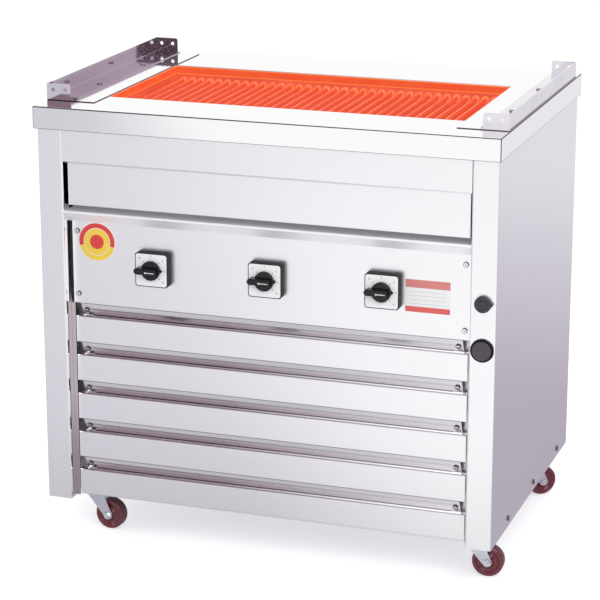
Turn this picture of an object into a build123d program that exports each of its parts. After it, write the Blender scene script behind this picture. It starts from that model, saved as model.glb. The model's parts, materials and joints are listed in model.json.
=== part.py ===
from build123d import *
import math
import os

os.makedirs("parts", exist_ok=True)

# Sizes are in millimetres. The origin lies on the floor under the middle of the deck,
# the front faces -Y, +X is to the right of someone who stands at the front, and +Z is up.

# Overall sizes
deck_width = 960.0
deck_depth = 700.0
deck_height = 925.0

# Sheet metal, clearances and cuts
sheet = 1.5
fold_radius = 1.5
edge_round = 2.5
seam = 0.3
running_gap = 0.3
shaft_clearance = 0.08
overrun = 5.0

# Deck: a tray turned upside down, with a flanged cooking opening
lip_height = 45.0
front_overhang = 11.0
side_overhang = 5.0
rear_overhang = 11.0
opening_side_border = 105.0
opening_rear_border = 188.0
opening_setback = 140.0
opening_flange = 19.0

# Side plates and the rails on them
rail_setback = 68.0
rail_rear_setback = 52.0
rail_inset = 2.0
rail_sheet = 2.0
rail_rise = 32.0
rail_foot_width = 57.0
rail_end_width = 52.0
rail_end_corner = 5.0
rail_hole_d = 8.0
rail_hole_spacing = 26.0
rail_hole_edge = 14.0
rail_hole_height = 20.0
rail_dimple_d = 5.0
rail_dimple_shares = (0.2, 0.45)
rail_screw_shares = (0.3, 0.7)
rail_screw_inset = 18.0

# Front: posts, fascia, drawer front, awning, control panel, louvres
post_width = 52.0
post_flange = 8.0
panel_recess = 28.0
panel_side_gap = 6.0
fascia_height = 112.0
fascia_return = 20.0
drawer_play = 2.0
drawer_front_height = 89.0
drawer_recess = 13.0
drawer_front_thickness = 20.0
drawer_side_gap = 5.0
finger_gap = 10.5
awning_recess = 2.0
awning_drop = 25.5
awning_flange = 58.0
panel_height = 172.0
band_run = 13.5
band_drop = 26.0
louvre_count = 5
louvre_gap = 1.2
louvre_hem = 15.0
louvre_end_gap = 1.5
band_end_cut = 11.0

# Base, casters and the ground clearance
base_height = 98.0
base_sheet = 2.0
base_wall = 35.0
base_setback = 58.0
skirt = 3.0
toe_gap = 2.5
rear_flange = 24.0
rear_panel_inset = 4.0
rear_panel_lip_gap = 4.0
caster_inset_x = 64.0
caster_inset_y = 105.0
caster_trail = 34.0
wheel_d = 65.0
wheel_width = 26.0
wheel_hub_width = 30.0
wheel_hub_d = 22.0
wheel_rim_d = 50.0
wheel_dish = 4.0
wheel_shoulder = 4.0
axle_d = 8.0
axle_head_d = 14.0
axle_head = 5.0
fork_sheet = 2.5
fork_boss_d = 19.0
fork_crown = 4.0
fork_crown_d = 46.0
race_d = 42.0
race_height = 9.0
king_pin_d = 10.0
king_pin_head_d = 17.0
king_pin_head = 3.5
plate_length = 80.0
plate_width = 62.0
plate_thickness = 3.0
plate_bolt_inset = 9.0
plate_bolt_d = 6.0
plate_bolt_head_d = 11.0
plate_bolt_head = 4.0
plate_bolt_nut = 5.0

# Swivel angle of each caster as it stands, measured from +X towards +Y, in degrees
caster_turns = {
    "front_left": -6.0,
    "front_right": 4.0,
    "rear_left": 10.0,
    "rear_right": 38.0,
}

# Fire box and heaters
fire_box_clear = 6.0
heater_d = 10.0
heater_side_gap = 16.75
heater_depth = 33.0
heater_front_gap = 24.0
heater_tail = 30.0
heater_pin_d = 4.0
heater_pin = 16.0
hairpins_per_bank = 6
bank_names = ("left", "middle", "right")
bush_fill_share = 0.6
bush_length = 9.0
bush_clearance = 0.1
wall_hole_clearance = 1.0
rest_bar_width = 20.0
rest_bar_thickness = 3.0
rest_bar_setback = 60.0
link_thickness = 1.5
link_width = 10.0
link_place_share = 0.5
cover_length = 68.0
cover_height = 46.0
cover_overhang = 10.0

# Drawer tray, runners and shelf
tray_side_gap = 28.0
tray_rim = 12.0
tray_rim_drop = 6.0
tray_height = 72.0
tray_loom_gap = 30.0
runner_sheet = 2.0
runner_leg = 30.0
runner_wall_gap = 1.5
runner_front_gap = 3.0
runner_rear_gap = 18.0
shelf_front_gap = 12.0
shelf_loom_gap = 17.0

# Brackets behind the louvres and the control panel
bracket_reach = 52.0
bracket_width = 90.0
bracket_foot_gap = 6.0
tab_width = 20.0
tab_inset = 12.0
tab_start_share = 0.2
stile_width = 18.0
stile_end_gap = 5.0

# Screws with a domed head
screw_head_d = 11.0
screw_head = 3.0
screw_d = 4.0
screw_length = 9.0
screw_clearance = 0.1
screw_dome = 1.2
panel_screw_inset_x = 10.5
panel_screw_inset_z = 20.0
louvre_screw_inset = 21.0
louvre_screw_share = 0.6
side_screw_count = 3
side_screw_pitch = 220.0
side_screw_offset = 22.0
side_screw_height = 15.0
rear_screw_shares = (0.08, 0.36, 0.64, 0.92)

# Cam switches on the control panel
switch_pitch = 241.0
switch_offset = 2.5
switch_drop = 84.0
bezel_side = 70.0
bezel_depth = 18.0
bezel_corner = 6.0
legend_side = 66.0
legend_thickness = 1.0
legend_corner = 5.0
legend_hole_d = 20.0
switch_neck_d = 40.0
switch_neck_clearance = 0.5
switch_body_side = 56.0
switch_body_depth = 70.0
knob_d = 40.0
knob_disc = 7.0
knob_edge = 1.5
knob_grip_rise = 10.0
knob_grip_width = 13.0
knob_grip_reach = 32.0
knob_grip_tail = 15.0
knob_grip_round = 2.2
knob_tip_reach = 25.0
knob_tip_width = 11.0
knob_tip_height = 4.0
knob_shaft_d = 8.0
knob_shaft_length = 40.0

# Small pointed knob and push button on the right post
selector_drop = 326.0
selector_d = 33.0
selector_thickness = 7.0
selector_cap_d = 17.0
selector_cap_rise = 3.0
selector_nib = 20.5
selector_nib_width = 14.0
selector_body_d = 30.0
selector_body_depth = 32.0
selector_neck_d = 12.0
selector_shaft_d = 6.0
button_drop = 419.0
button_ring_bore = 39.0
button_ring_ledge = 1.25
button_ring_rise = 4.0
button_rise = 8.0
button_play = 0.4
button_dome = 2.0
button_skirt = 10.0
button_barrel_depth = 34.0
button_barrel_wall = 2.5
button_barrel_floor = 3.0
button_stem_d = 10.0
button_edge = 1.2
spring_wire = 1.6
spring_d = 22.0
spring_turns = 4

# Supply: gland in the rear panel and terminal block on the base
gland_inset_x = 110.0
gland_height = 95.0
gland_d = 36.0
gland_rise = 7.0
gland_nut = 7.0
gland_bore = 16.0
gland_neck_d = 26.0
block_length = 110.0
block_width = 44.0
block_height = 36.0
block_gap = 30.0
block_slot = 5.0
block_ways = 4
loom_d = 12.0
loom_bend = 20.0
loom_rear_gap = 26.0

# Places worked out from the sizes above
side_x = deck_width / 2 - side_overhang
inside_x = side_x - sheet
post_x = side_x - post_width
face_y = front_overhang - deck_depth / 2
rear_y = deck_depth / 2 - rear_overhang
under_deck = deck_height - sheet
panel_y = face_y + panel_recess
panel_half = post_x - panel_side_gap
blade_half = post_x - post_flange - louvre_end_gap
band_half = blade_half - band_end_cut
shell_bottom = base_height - skirt
opening_width = deck_width - 2 * opening_side_border
opening_depth = deck_depth - opening_setback - opening_rear_border
opening_front = opening_setback - deck_depth / 2
opening_rear = opening_front + opening_depth
rail_length = deck_depth - rail_setback - rail_rear_setback
fascia_bottom = deck_height - fascia_height
drawer_top = fascia_bottom - drawer_play
drawer_bottom = drawer_top - drawer_front_height
drawer_half = post_x - drawer_side_gap
drawer_y = face_y + drawer_recess
drawer_back = drawer_y + drawer_front_thickness
awning_top = drawer_bottom - finger_gap
panel_top = awning_top - awning_drop
panel_bottom = panel_top - panel_height
louvre_pitch = (panel_bottom - shell_bottom - toe_gap) / louvre_count
blade_height = louvre_pitch - band_drop - louvre_gap
shelf_top = awning_top - sheet
shelf_bottom = shelf_top - sheet
fire_box_bottom = fascia_bottom + fire_box_clear
heater_z = deck_height - heater_depth
fire_wall_x = opening_width / 2 + sheet
fire_wall_front = opening_front - sheet
fire_wall_rear = opening_rear + sheet
heater_count = 2 * hairpins_per_bank * len(bank_names)
heater_pitch = (opening_width - 2 * heater_side_gap) / (heater_count - 1)
bush_d = heater_d + bush_fill_share * (heater_pitch - heater_d)
cover_back = fire_wall_rear + sheet + cover_length
loom_rise_y = cover_back + loom_rear_gap
tray_half = post_x - tray_side_gap
tray_top = drawer_top - tray_rim_drop
tray_rear = loom_rise_y - tray_loom_gap
bracket_y = face_y + bracket_reach
legend_y = panel_y - bezel_depth - legend_thickness
switch_z = panel_top - switch_drop
selector_z = deck_height - selector_drop
button_z = deck_height - button_drop
post_middle = (post_x + side_x) / 2
button_barrel_d = button_ring_bore + 2 * button_barrel_wall
button_ring_d = button_barrel_d + 2 * button_ring_ledge
caster_x = side_x - caster_inset_x
caster_y = rear_y - caster_inset_y
axle_z = wheel_d / 2
race_bottom = base_height - plate_thickness - race_height
crown_top = race_bottom - running_gap
crown_bottom = crown_top - fork_crown
leg_inside = wheel_hub_width / 2 + running_gap


# Plain shapes
def slab(x, y, z):
    # a block between two limits on each axis
    spans = [max(pair) - min(pair) for pair in (x, y, z)]
    middles = [sum(pair) / 2 for pair in (x, y, z)]
    return Pos(*middles) * Box(*spans)


def bar(start, end, diameter):
    # a round bar between two points
    axis = Vector(*end) - Vector(*start)
    return Part() + Solid.make_cylinder(diameter / 2, axis.length, Plane(origin=start, z_dir=axis))


def along_x(profile, x):
    # a profile in Y and Z, drawn out between two limits in X
    return Pos(min(x), 0, 0) * extrude(Plane.YZ * profile, max(x) - min(x), dir=(1, 0, 0))


def along_z(profile, z):
    # a profile in X and Y, drawn up between two limits in Z
    return Pos(0, 0, min(z)) * extrude(profile, max(z) - min(z), dir=(0, 0, 1))


def bent_sheet(path, thickness):
    # the profile of a sheet bent along a path: it lies on the path's left, and its folds are round
    points = [Vector(*point) for point in path]
    runs = [(b - a).normalized() for a, b in zip(points, points[1:])]
    far_side = []
    for i, point in enumerate(points):
        before = runs[max(i - 1, 0)]
        after = runs[min(i, len(runs) - 1)]
        left = Vector(-before.Y - after.Y, before.X + after.X)
        far_side.append(point + left * (thickness / (1 + before.dot(after))))
    profile = make_face(Polyline(*points, *far_side[::-1], close=True))
    for i in range(1, len(runs)):
        corners = [points[i], far_side[i]]
        if runs[i - 1].cross(runs[i]).Z > 0:
            corners.reverse()
        for corner, radius in zip(corners, (fold_radius, fold_radius + thickness)):
            profile = fillet(profile.vertices().sort_by_distance(corner)[0], radius)
    return profile


def both_ways(half):
    return (-half, half)


def mirrored(part):
    # the left-hand copy of a right-hand piece
    return mirror(part, about=Plane.YZ)


def screw(at, outward):
    # a domed screw whose head sits at a point and looks along a direction
    head = Cylinder(screw_head_d / 2, screw_head, align=(Align.CENTER, Align.CENTER, Align.MIN))
    head = fillet(head.edges().sort_by(Axis.Z)[-1], screw_dome)
    shank = Cylinder(screw_d / 2, screw_length, align=(Align.CENTER, Align.CENTER, Align.MAX))
    return Plane(origin=at, z_dir=outward).location * (head + shank)


def screw_hole(at, outward):
    # the cut that clears a screw's shank
    reach = Vector(*outward).normalized() * (screw_length + overrun)
    middle = Vector(*at)
    return bar(middle - reach, middle + reach, screw_d + 2 * screw_clearance)


def save(name, *solids):
    # one file for each piece; pieces that come in sets share a file as separate solids
    bodies = [solid for shape in solids for solid in shape.solids()]
    export_step(bodies[0] if len(bodies) == 1 else Compound(children=bodies), f"parts/{name}.step")


# Cabinet
def side_screw_places():
    middle = (side_screw_count - 1) / 2
    rows = [side_screw_offset + (i - middle) * side_screw_pitch for i in range(side_screw_count)]
    return [(side_x, y, base_height + side_screw_height) for y in rows]


def rear_panel_span():
    # the rear panel's lower and upper edge
    return base_height, deck_height - lip_height - rear_panel_lip_gap


def rear_screw_places():
    low, high = rear_panel_span()
    x = side_x - rear_flange / 2
    return [(x, rear_y + sheet, low + share * (high - low)) for share in rear_screw_shares]


def drilled(part, places, outward):
    for place in places:
        part -= screw_hole(place, outward)
    return part


def left_of(places):
    return [(-x, y, z) for x, y, z in places]


def right_shell():
    # front flange, post, side wall and rear flange, folded from one sheet
    path = [
        (post_x - post_flange, panel_y),
        (post_x, panel_y),
        (post_x, face_y),
        (side_x, face_y),
        (side_x, rear_y),
        (side_x - rear_flange, rear_y),
    ]
    shell = along_z(bent_sheet(path, sheet), (shell_bottom, under_deck))
    above_louvres = (panel_bottom, deck_height)
    flange_x = (post_x - post_flange - overrun, post_x)
    shell -= slab(flange_x, (panel_y - overrun, panel_y + overrun), above_louvres)
    shell = drilled(shell, side_screw_places(), (1, 0, 0))
    return drilled(shell, rear_screw_places(), (0, 1, 0))


def post_holes():
    # the round holes for the pointed knob and for the push button in the right post
    cuts = []
    for z, diameter in ((selector_z, selector_neck_d), (button_z, button_barrel_d)):
        near = (post_middle, face_y - overrun, z)
        far = (post_middle, face_y + overrun, z)
        cuts.append(bar(near, far, diameter + 2 * screw_clearance))
    return cuts


def base_pan():
    front = face_y + base_setback
    rear = rear_y - sheet
    top = base_height + base_wall
    outer = slab(both_ways(inside_x), (front, rear), (base_height, top))
    outer = fillet(outer.edges().filter_by(Axis.Z), edge_round)
    inner = slab(
        both_ways(inside_x - base_sheet),
        (front + base_sheet, rear - base_sheet),
        (base_height + base_sheet, top + overrun),
    )
    pan = outer - inner
    pan = drilled(pan, side_screw_places(), (1, 0, 0))
    pan = drilled(pan, left_of(side_screw_places()), (-1, 0, 0))
    for name in caster_turns:
        for x, y in plate_bolts(name):
            low = (x, y, base_height - overrun)
            pan -= bar(low, (x, y, base_height + overrun), plate_bolt_d + 2 * screw_clearance)
    return pan


def gland_place():
    return side_x - gland_inset_x, base_height + gland_height


def rear_panel():
    # a flat sheet screwed to the shells' rear flanges
    half = side_x - rear_panel_inset
    panel = slab(both_ways(half), (rear_y, rear_y + sheet), rear_panel_span())
    x, z = gland_place()
    hole_d = gland_neck_d + 2 * screw_clearance
    panel -= bar((x, rear_y - overrun, z), (x, rear_y + overrun, z), hole_d)
    panel = drilled(panel, rear_screw_places(), (0, 1, 0))
    return drilled(panel, left_of(rear_screw_places()), (0, 1, 0))


def top_deck():
    lip_bottom = deck_height - lip_height
    half_x = deck_width / 2
    half_y = deck_depth / 2
    outer = slab(both_ways(half_x), both_ways(half_y), (lip_bottom, deck_height))
    rounded = outer.edges().filter_by(Axis.Z) + outer.faces().sort_by(Axis.Z)[-1].edges()
    outer = fillet(rounded, edge_round)
    hollow = slab(
        both_ways(half_x - sheet),
        both_ways(half_y - sheet),
        (lip_bottom + sheet, under_deck),
    )
    # the lip's lower return closes up to the cabinet on every side
    mouth = slab(
        both_ways(side_x + seam),
        (face_y - seam, rear_y + seam),
        (lip_bottom - overrun, lip_bottom + sheet),
    )
    flange = slab(
        both_ways(fire_wall_x),
        (fire_wall_front, fire_wall_rear),
        (deck_height - opening_flange, under_deck),
    )
    opening = slab(
        both_ways(opening_width / 2),
        (opening_front, opening_rear),
        (deck_height - opening_flange - overrun, deck_height + overrun),
    )
    deck = outer - hollow - mouth + flange - opening
    return fillet(deck.faces().sort_by(Axis.Z)[-1].inner_wires()[0].edges(), edge_round)


def front_fascia():
    half = post_x - seam
    path = [
        (face_y + fascia_return, fascia_bottom),
        (face_y, fascia_bottom),
        (face_y, under_deck),
    ]
    return along_x(bent_sheet(path[::-1], sheet), both_ways(half))


def drip_awning():
    path = [
        (face_y + awning_recess + awning_flange, awning_top),
        (face_y + awning_recess, awning_top),
        (panel_y, panel_top),
    ]
    return along_x(bent_sheet(path, sheet), both_ways(post_x - seam))


def with_short_band(part, half, bend):
    # the turned-in band stops short of the ends of its sheet, so that it clears the posts' flanges
    depth = (panel_y - overrun, panel_y + band_run + overrun)
    for side in (-1, 1):
        ends = (side * band_half, side * (half + overrun))
        part -= slab(ends, depth, (bend - band_drop - overrun, bend))
    return part


def control_panel():
    path = [
        (panel_y, panel_top),
        (panel_y, panel_bottom),
        (panel_y + band_run, panel_bottom - band_drop),
    ]
    panel = along_x(bent_sheet(path, sheet), both_ways(panel_half))
    panel = with_short_band(panel, panel_half, panel_bottom)
    for place in panel_screw_places():
        panel -= screw_hole(place, (0, -1, 0))
    for side in (-1, 1):
        panel -= screw_hole(*band_screw(side, panel_bottom))
    for x in switch_rows():
        hole_d = switch_neck_d + 2 * switch_neck_clearance
        panel -= bar((x, panel_y - overrun, switch_z), (x, panel_y + overrun, switch_z), hole_d)
    return panel


def panel_screw_places():
    columns = both_ways(panel_half - panel_screw_inset_x)
    rows = (panel_top - panel_screw_inset_z, panel_bottom + panel_screw_inset_z)
    return [(x, panel_y, z) for x in columns for z in rows]


def band_screw(side, bend):
    # where a screw sits on the turned-in band below a bend, and which way it looks
    y = panel_y + louvre_screw_share * band_run
    z = bend - louvre_screw_share * band_drop
    return (side * (blade_half - louvre_screw_inset), y, z), (0, -band_drop, -band_run)


def louvre_blade(row):
    # top hem, face and turned-in lower band; the lowest blade has a flat return instead
    bottom = panel_bottom - (row + 1) * louvre_pitch
    top = bottom + blade_height
    path = [(panel_y + louvre_hem, top), (panel_y, top), (panel_y, bottom)]
    if row < louvre_count - 1:
        path.append((panel_y + band_run, bottom - band_drop))
    else:
        path.append((face_y + base_setback, bottom))
    blade = along_x(bent_sheet(path, sheet), both_ways(blade_half))
    if row < louvre_count - 1:
        blade = with_short_band(blade, blade_half, bottom)
        for side in (-1, 1):
            blade -= screw_hole(*band_screw(side, bottom))
    return blade


def band_bends():
    # heights of the bends above every turned-in band, the control panel's first
    return [panel_bottom - row * louvre_pitch for row in range(louvre_count)]


def right_bracket():
    # upright strip behind the louvres, a tab under each band, and a stile behind the panel's end
    top = shelf_bottom
    strip = slab(
        (inside_x - bracket_width, inside_x),
        (bracket_y, bracket_y + sheet),
        (base_height + bracket_foot_gap, top),
    )
    tab_x = (blade_half - tab_inset - tab_width, blade_half - tab_inset)
    slope = band_drop / band_run
    offset = sheet * math.hypot(1, slope)
    for bend in band_bends():
        start_y = panel_y + tab_start_share * band_run
        path = []
        for y in (start_y, bracket_y):
            path.append((y, bend - slope * (y - panel_y) + offset))
        strip += along_x(bent_sheet(path, sheet), tab_x)
    stile_z = (panel_bottom + stile_end_gap, panel_top - stile_end_gap)
    stile_x = panel_half - stile_width
    strip += slab((stile_x, panel_half), (panel_y + sheet, panel_y + 2 * sheet), stile_z)
    strip += slab((stile_x, stile_x + sheet), (panel_y + sheet, bracket_y + sheet), stile_z)
    for place in panel_screw_places():
        strip -= screw_hole(place, (0, -1, 0))
    for bend in band_bends():
        strip -= screw_hole(*band_screw(1, bend))
    return strip


# Cooking top
def right_side_plate():
    y = (rail_setback - deck_depth / 2, rail_setback - deck_depth / 2 + rail_length)
    return slab((opening_width / 2, deck_width / 2 - rail_inset), y, (deck_height, deck_height + sheet))


def right_rail():
    outer = deck_width / 2 - rail_inset
    foot = deck_height + sheet
    front = rail_setback - deck_depth / 2
    rear = front + rail_length
    path = [(outer - rail_foot_width, foot), (outer, foot), (outer, foot + rail_rise)]
    rail = Pos(0, front, 0) * extrude(Plane.XZ * bent_sheet(path, rail_sheet), rail_length, dir=(0, 1, 0))
    for y in ((front, front + rail_sheet), (rear - rail_sheet, rear)):
        end = slab((outer - rail_end_width, outer), y, (foot, foot + rail_rise))
        corner = end.edges().filter_by(Axis.Y).group_by(Axis.X)[0].sort_by(Axis.Z)[-1]
        rail += fillet(corner, rail_end_corner)
    for i in range(2):
        x = outer - rail_hole_edge - i * rail_hole_spacing
        z = foot + rail_hole_height
        rail -= bar((x, front - overrun, z), (x, rear + overrun, z), rail_hole_d)
    for share in rail_dimple_shares:
        y = front + share * rail_length
        z = foot + rail_hole_height
        rail -= bar((outer - rail_sheet - overrun, y, z), (outer + overrun, y, z), rail_dimple_d)
    for place in rail_screw_places():
        rail -= screw_hole(place, (0, 0, 1))
    return rail


def rail_screw_places():
    x = deck_width / 2 - rail_inset - rail_foot_width + rail_screw_inset
    front = rail_setback - deck_depth / 2
    top = deck_height + sheet + rail_sheet
    return [(x, front + share * rail_length, top) for share in rail_screw_shares]


def fire_box():
    # four walls that hang from the deck's opening, with a hole for each heater end
    z = (fire_box_bottom, under_deck)
    outer = slab(both_ways(fire_wall_x + sheet), (fire_wall_front - sheet, fire_wall_rear + sheet), z)
    inner = slab(
        both_ways(fire_wall_x),
        (fire_wall_front, fire_wall_rear),
        (fire_box_bottom - overrun, under_deck + overrun),
    )
    box = outer - inner
    for x in heater_columns():
        near = (x, fire_wall_rear - overrun, heater_z)
        far = (x, fire_wall_rear + overrun, heater_z)
        box -= bar(near, far, heater_d + 2 * wall_hole_clearance)
    return box


def heater_columns():
    return [(i - (heater_count - 1) / 2) * heater_pitch for i in range(heater_count)]


def heater_ends():
    # where the sheath ends behind the fire box, and where its pin ends
    sheath_end = fire_wall_rear + sheet + heater_tail
    return sheath_end, sheath_end + heater_pin


def hairpin(left_x, right_x):
    # one sheathed element: two straight runs, a half-round bend at the front, a pin at each end
    sheath_end, pin_end = heater_ends()
    bend_r = (right_x - left_x) / 2
    bend_y = fire_wall_front + heater_front_gap
    tip = ((left_x + right_x) / 2, bend_y - bend_r, heater_z)
    out = Line((left_x, sheath_end, heater_z), (left_x, bend_y, heater_z))
    bend = ThreePointArc(out @ 1, tip, (right_x, bend_y, heater_z))
    back = Line(bend @ 1, (right_x, sheath_end, heater_z))
    section = Plane(origin=out @ 0, z_dir=(0, -1, 0)) * Circle(heater_d / 2)
    element = sweep(section, path=out + bend + back)
    for x in (left_x, right_x):
        element += bar((x, sheath_end, heater_z), (x, pin_end, heater_z), heater_pin_d)
    return element


def heater_bank(bank):
    columns = heater_columns()
    first = 2 * hairpins_per_bank * bank
    pairs = [(columns[first + 2 * i], columns[first + 2 * i + 1]) for i in range(hairpins_per_bank)]
    return [hairpin(*pair) for pair in pairs]


def heater_bushes():
    bushes = []
    for x in heater_columns():
        inner_end = (x, fire_wall_rear - bush_length, heater_z)
        bush = bar(inner_end, (x, fire_wall_rear, heater_z), bush_d)
        bore = heater_d + 2 * bush_clearance
        far_end = (x, fire_wall_rear + overrun, heater_z)
        bushes.append(bush - bar((x, fire_wall_rear - bush_length - overrun, heater_z), far_end, bore))
    return bushes


def heater_rest_bar():
    y = fire_wall_front + rest_bar_setback
    top = heater_z - heater_d / 2 - running_gap
    return slab(both_ways(fire_wall_x), (y, y + rest_bar_width), (top - rest_bar_thickness, top))


def heater_links():
    # straps that join neighbouring hairpins of one bank in series
    columns = heater_columns()
    sheath_end, pin_end = heater_ends()
    y = sheath_end + link_place_share * (pin_end - sheath_end)
    links = []
    for bank in range(len(bank_names)):
        first = 2 * hairpins_per_bank * bank
        for i in range(hairpins_per_bank - 1):
            a = columns[first + 2 * i + 1]
            b = columns[first + 2 * i + 2]
            reach = link_width / 2
            rise = (heater_z - reach, heater_z + reach)
            strap = slab((a - reach, b + reach), (y, y + link_thickness), rise)
            for x in (a, b):
                low = (x, y - overrun, heater_z)
                strap -= bar(low, (x, y + overrun, heater_z), heater_pin_d + 2 * bush_clearance)
            links.append(strap)
    return links


def terminal_cover():
    # folded box behind the fire box, open towards it, over the heater ends
    half = heater_columns()[-1] + cover_overhang
    front = fire_wall_rear + sheet
    rise = (heater_z - cover_height / 2, heater_z + cover_height / 2)
    outer = slab(both_ways(half), (front, front + cover_length), rise)
    inner = slab(
        both_ways(half - sheet),
        (front - overrun, front + cover_length - sheet),
        (rise[0] + sheet, rise[1] - sheet),
    )
    return outer - inner


# Drawer
def drawer_front():
    # double-skinned front, open below so that fingers can hook into it
    outer = slab(both_ways(drawer_half), (drawer_y, drawer_back), (drawer_bottom, drawer_top))
    outer = fillet(outer.faces().sort_by(Axis.Y)[0].edges(), edge_round)
    hollow = slab(
        both_ways(drawer_half - sheet),
        (drawer_y + sheet, drawer_back - sheet),
        (drawer_bottom - overrun, drawer_top - sheet),
    )
    return outer - hollow


def drip_tray():
    bottom = tray_top - tray_height
    tray = slab(both_ways(tray_half), (drawer_back, tray_rear), (bottom, tray_top))
    rim_x = tray_half + tray_rim
    rim_front = drawer_back + running_gap + runner_front_gap
    tray += slab(both_ways(rim_x), (rim_front, tray_rear), (tray_top - sheet, tray_top))
    hollow = slab(
        both_ways(tray_half - sheet),
        (drawer_back + sheet, tray_rear - sheet),
        (bottom + sheet, tray_top + overrun),
    )
    return tray - hollow


def right_runner():
    top = tray_top - sheet - running_gap
    y = (drawer_back + runner_front_gap, rear_y - runner_rear_gap)
    inner = tray_half + runner_wall_gap
    runner = slab((inner, inside_x), y, (top - runner_sheet, top))
    return runner + slab((inside_x - runner_sheet, inside_x), y, (top - runner_leg, top))


def drawer_shelf():
    y = (panel_y + shelf_front_gap, loom_rise_y - shelf_loom_gap)
    return slab(both_ways(inside_x), y, (shelf_bottom, shelf_top))


# Cam switches
def switch_rows():
    middle = (len(bank_names) - 1) / 2
    return [switch_offset + (i - middle) * switch_pitch for i in range(len(bank_names))]


def square_block(side, corner, x, z, y):
    # a square block with rounded corners that faces the front, between two limits in Y
    face = Plane.XZ * RectangleRounded(side, side, corner)
    return Pos(x, max(y), z) * extrude(face, max(y) - min(y), dir=(0, -1, 0))


def switch_body(x):
    bezel_front = panel_y - bezel_depth
    body = square_block(bezel_side, bezel_corner, x, switch_z, (bezel_front, panel_y))
    rear = panel_y + sheet
    body += bar((x, panel_y, switch_z), (x, rear, switch_z), switch_neck_d)
    reach = switch_body_side / 2
    rear_y_span = (rear, rear + switch_body_depth)
    body += slab((x - reach, x + reach), rear_y_span, (switch_z - reach, switch_z + reach))
    shaft_end = legend_y + knob_shaft_length + running_gap
    bore = knob_shaft_d + 2 * shaft_clearance
    return body - bar((x, bezel_front - overrun, switch_z), (x, shaft_end, switch_z), bore)


def legend_plate(x):
    span = (legend_y, legend_y + legend_thickness)
    plate = square_block(legend_side, legend_corner, x, switch_z, span)
    near = (x, legend_y - overrun, switch_z)
    return plate - bar(near, (x, legend_y + overrun, switch_z), legend_hole_d)


def switch_knob(x):
    # round skirt, a grip that reaches out to the left, a pointer at the right, and the shaft
    back = legend_y - running_gap
    face = back - knob_disc
    skirt_disc = bar((x, back, switch_z), (x, face, switch_z), knob_d)
    rim = skirt_disc.edges().sort_by(Axis.Y)[0]
    knob = fillet(rim, knob_edge)
    half = knob_grip_width / 2
    nose_start = half - knob_grip_reach
    grip_sides = [(nose_start, half), (knob_grip_tail, half), (knob_grip_tail, -half), (nose_start, -half)]
    grip_nose = ThreePointArc((nose_start, -half), (-knob_grip_reach, 0), (nose_start, half))
    grip_face = Plane.XZ * make_face(Polyline(*grip_sides) + grip_nose)
    grip = extrude(grip_face, knob_disc + knob_grip_rise, dir=(0, -1, 0))
    grip = fillet(grip.edges().group_by(Axis.Y)[0], knob_grip_round)
    knob += Pos(x, back, switch_z) * grip
    tip_outline = [
        (0, -knob_tip_width / 2),
        (knob_d / 2 - knob_edge, -knob_tip_width / 2),
        (knob_tip_reach, 0),
        (knob_d / 2 - knob_edge, knob_tip_width / 2),
        (0, knob_tip_width / 2),
    ]
    tip_face = Plane.XZ * make_face(Polyline(*tip_outline, close=True))
    knob += Pos(x, back, switch_z) * extrude(tip_face, knob_tip_height, dir=(0, -1, 0))
    knob += bar((x, back, switch_z), (x, legend_y + knob_shaft_length, switch_z), knob_shaft_d)
    return knob


# Pointed knob and push button on the right post
def selector_body():
    x, z = post_middle, selector_z
    rear = face_y + sheet
    end = rear + selector_body_depth
    body = bar((x, rear, z), (x, end, z), selector_body_d)
    body += bar((x, face_y, z), (x, rear, z), selector_neck_d)
    bore = selector_shaft_d + 2 * shaft_clearance
    return body - bar((x, face_y - overrun, z), (x, end + overrun, z), bore)


def selector_knob():
    x, z = post_middle, selector_z
    back = face_y - running_gap
    front = back - selector_thickness
    disc = bar((x, back, z), (x, front, z), selector_d)
    knob = fillet(disc.edges().sort_by(Axis.Y)[0], knob_edge)
    cap = bar((x, front, z), (x, front - selector_cap_rise, z), selector_cap_d)
    knob += fillet(cap.edges().sort_by(Axis.Y)[0], knob_edge)
    nib_outline = [
        (0, -selector_nib_width / 2),
        (selector_d / 2 - knob_edge, -selector_nib_width / 2),
        (selector_nib, 0),
        (selector_d / 2 - knob_edge, selector_nib_width / 2),
        (0, selector_nib_width / 2),
    ]
    nib_face = Plane.XZ * make_face(Polyline(*nib_outline, close=True))
    nib = extrude(nib_face, selector_thickness - knob_edge, dir=(0, -1, 0))
    knob += Pos(x, back, z) * nib
    shaft_end = face_y + sheet + selector_body_depth
    return knob + bar((x, back, z), (x, shaft_end, z), selector_shaft_d)


def button_housing():
    # a ring on the post's face and the barrel behind it, with a floor that carries the spring
    x, z = post_middle, button_z
    ring = bar((x, face_y - button_ring_rise, z), (x, face_y, z), button_ring_d)
    rim = ring.edges().sort_by(Axis.Y)[0]
    housing = fillet(rim, button_edge)
    floor_y = face_y + button_barrel_depth
    housing += bar((x, face_y, z), (x, floor_y, z), button_barrel_d)
    mouth = (x, face_y - button_ring_rise - overrun, z)
    housing -= bar(mouth, (x, floor_y - button_barrel_floor, z), button_ring_bore)
    stem_bore = button_stem_d + 2 * shaft_clearance
    return housing - bar((x, floor_y - overrun, z), (x, floor_y + overrun, z), stem_bore)


def push_button():
    # domed cap with a skirt inside the ring, and a stem that runs through the barrel's floor
    x, z = post_middle, button_z
    front = face_y - button_rise
    cap_d = button_ring_bore - 2 * button_play
    cap = bar((x, front, z), (x, face_y + button_skirt, z), cap_d)
    cap = fillet(cap.edges().sort_by(Axis.Y)[0], button_dome)
    stem_end = face_y + button_barrel_depth + running_gap
    return cap + bar((x, face_y, z), (x, stem_end, z), button_stem_d)


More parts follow.
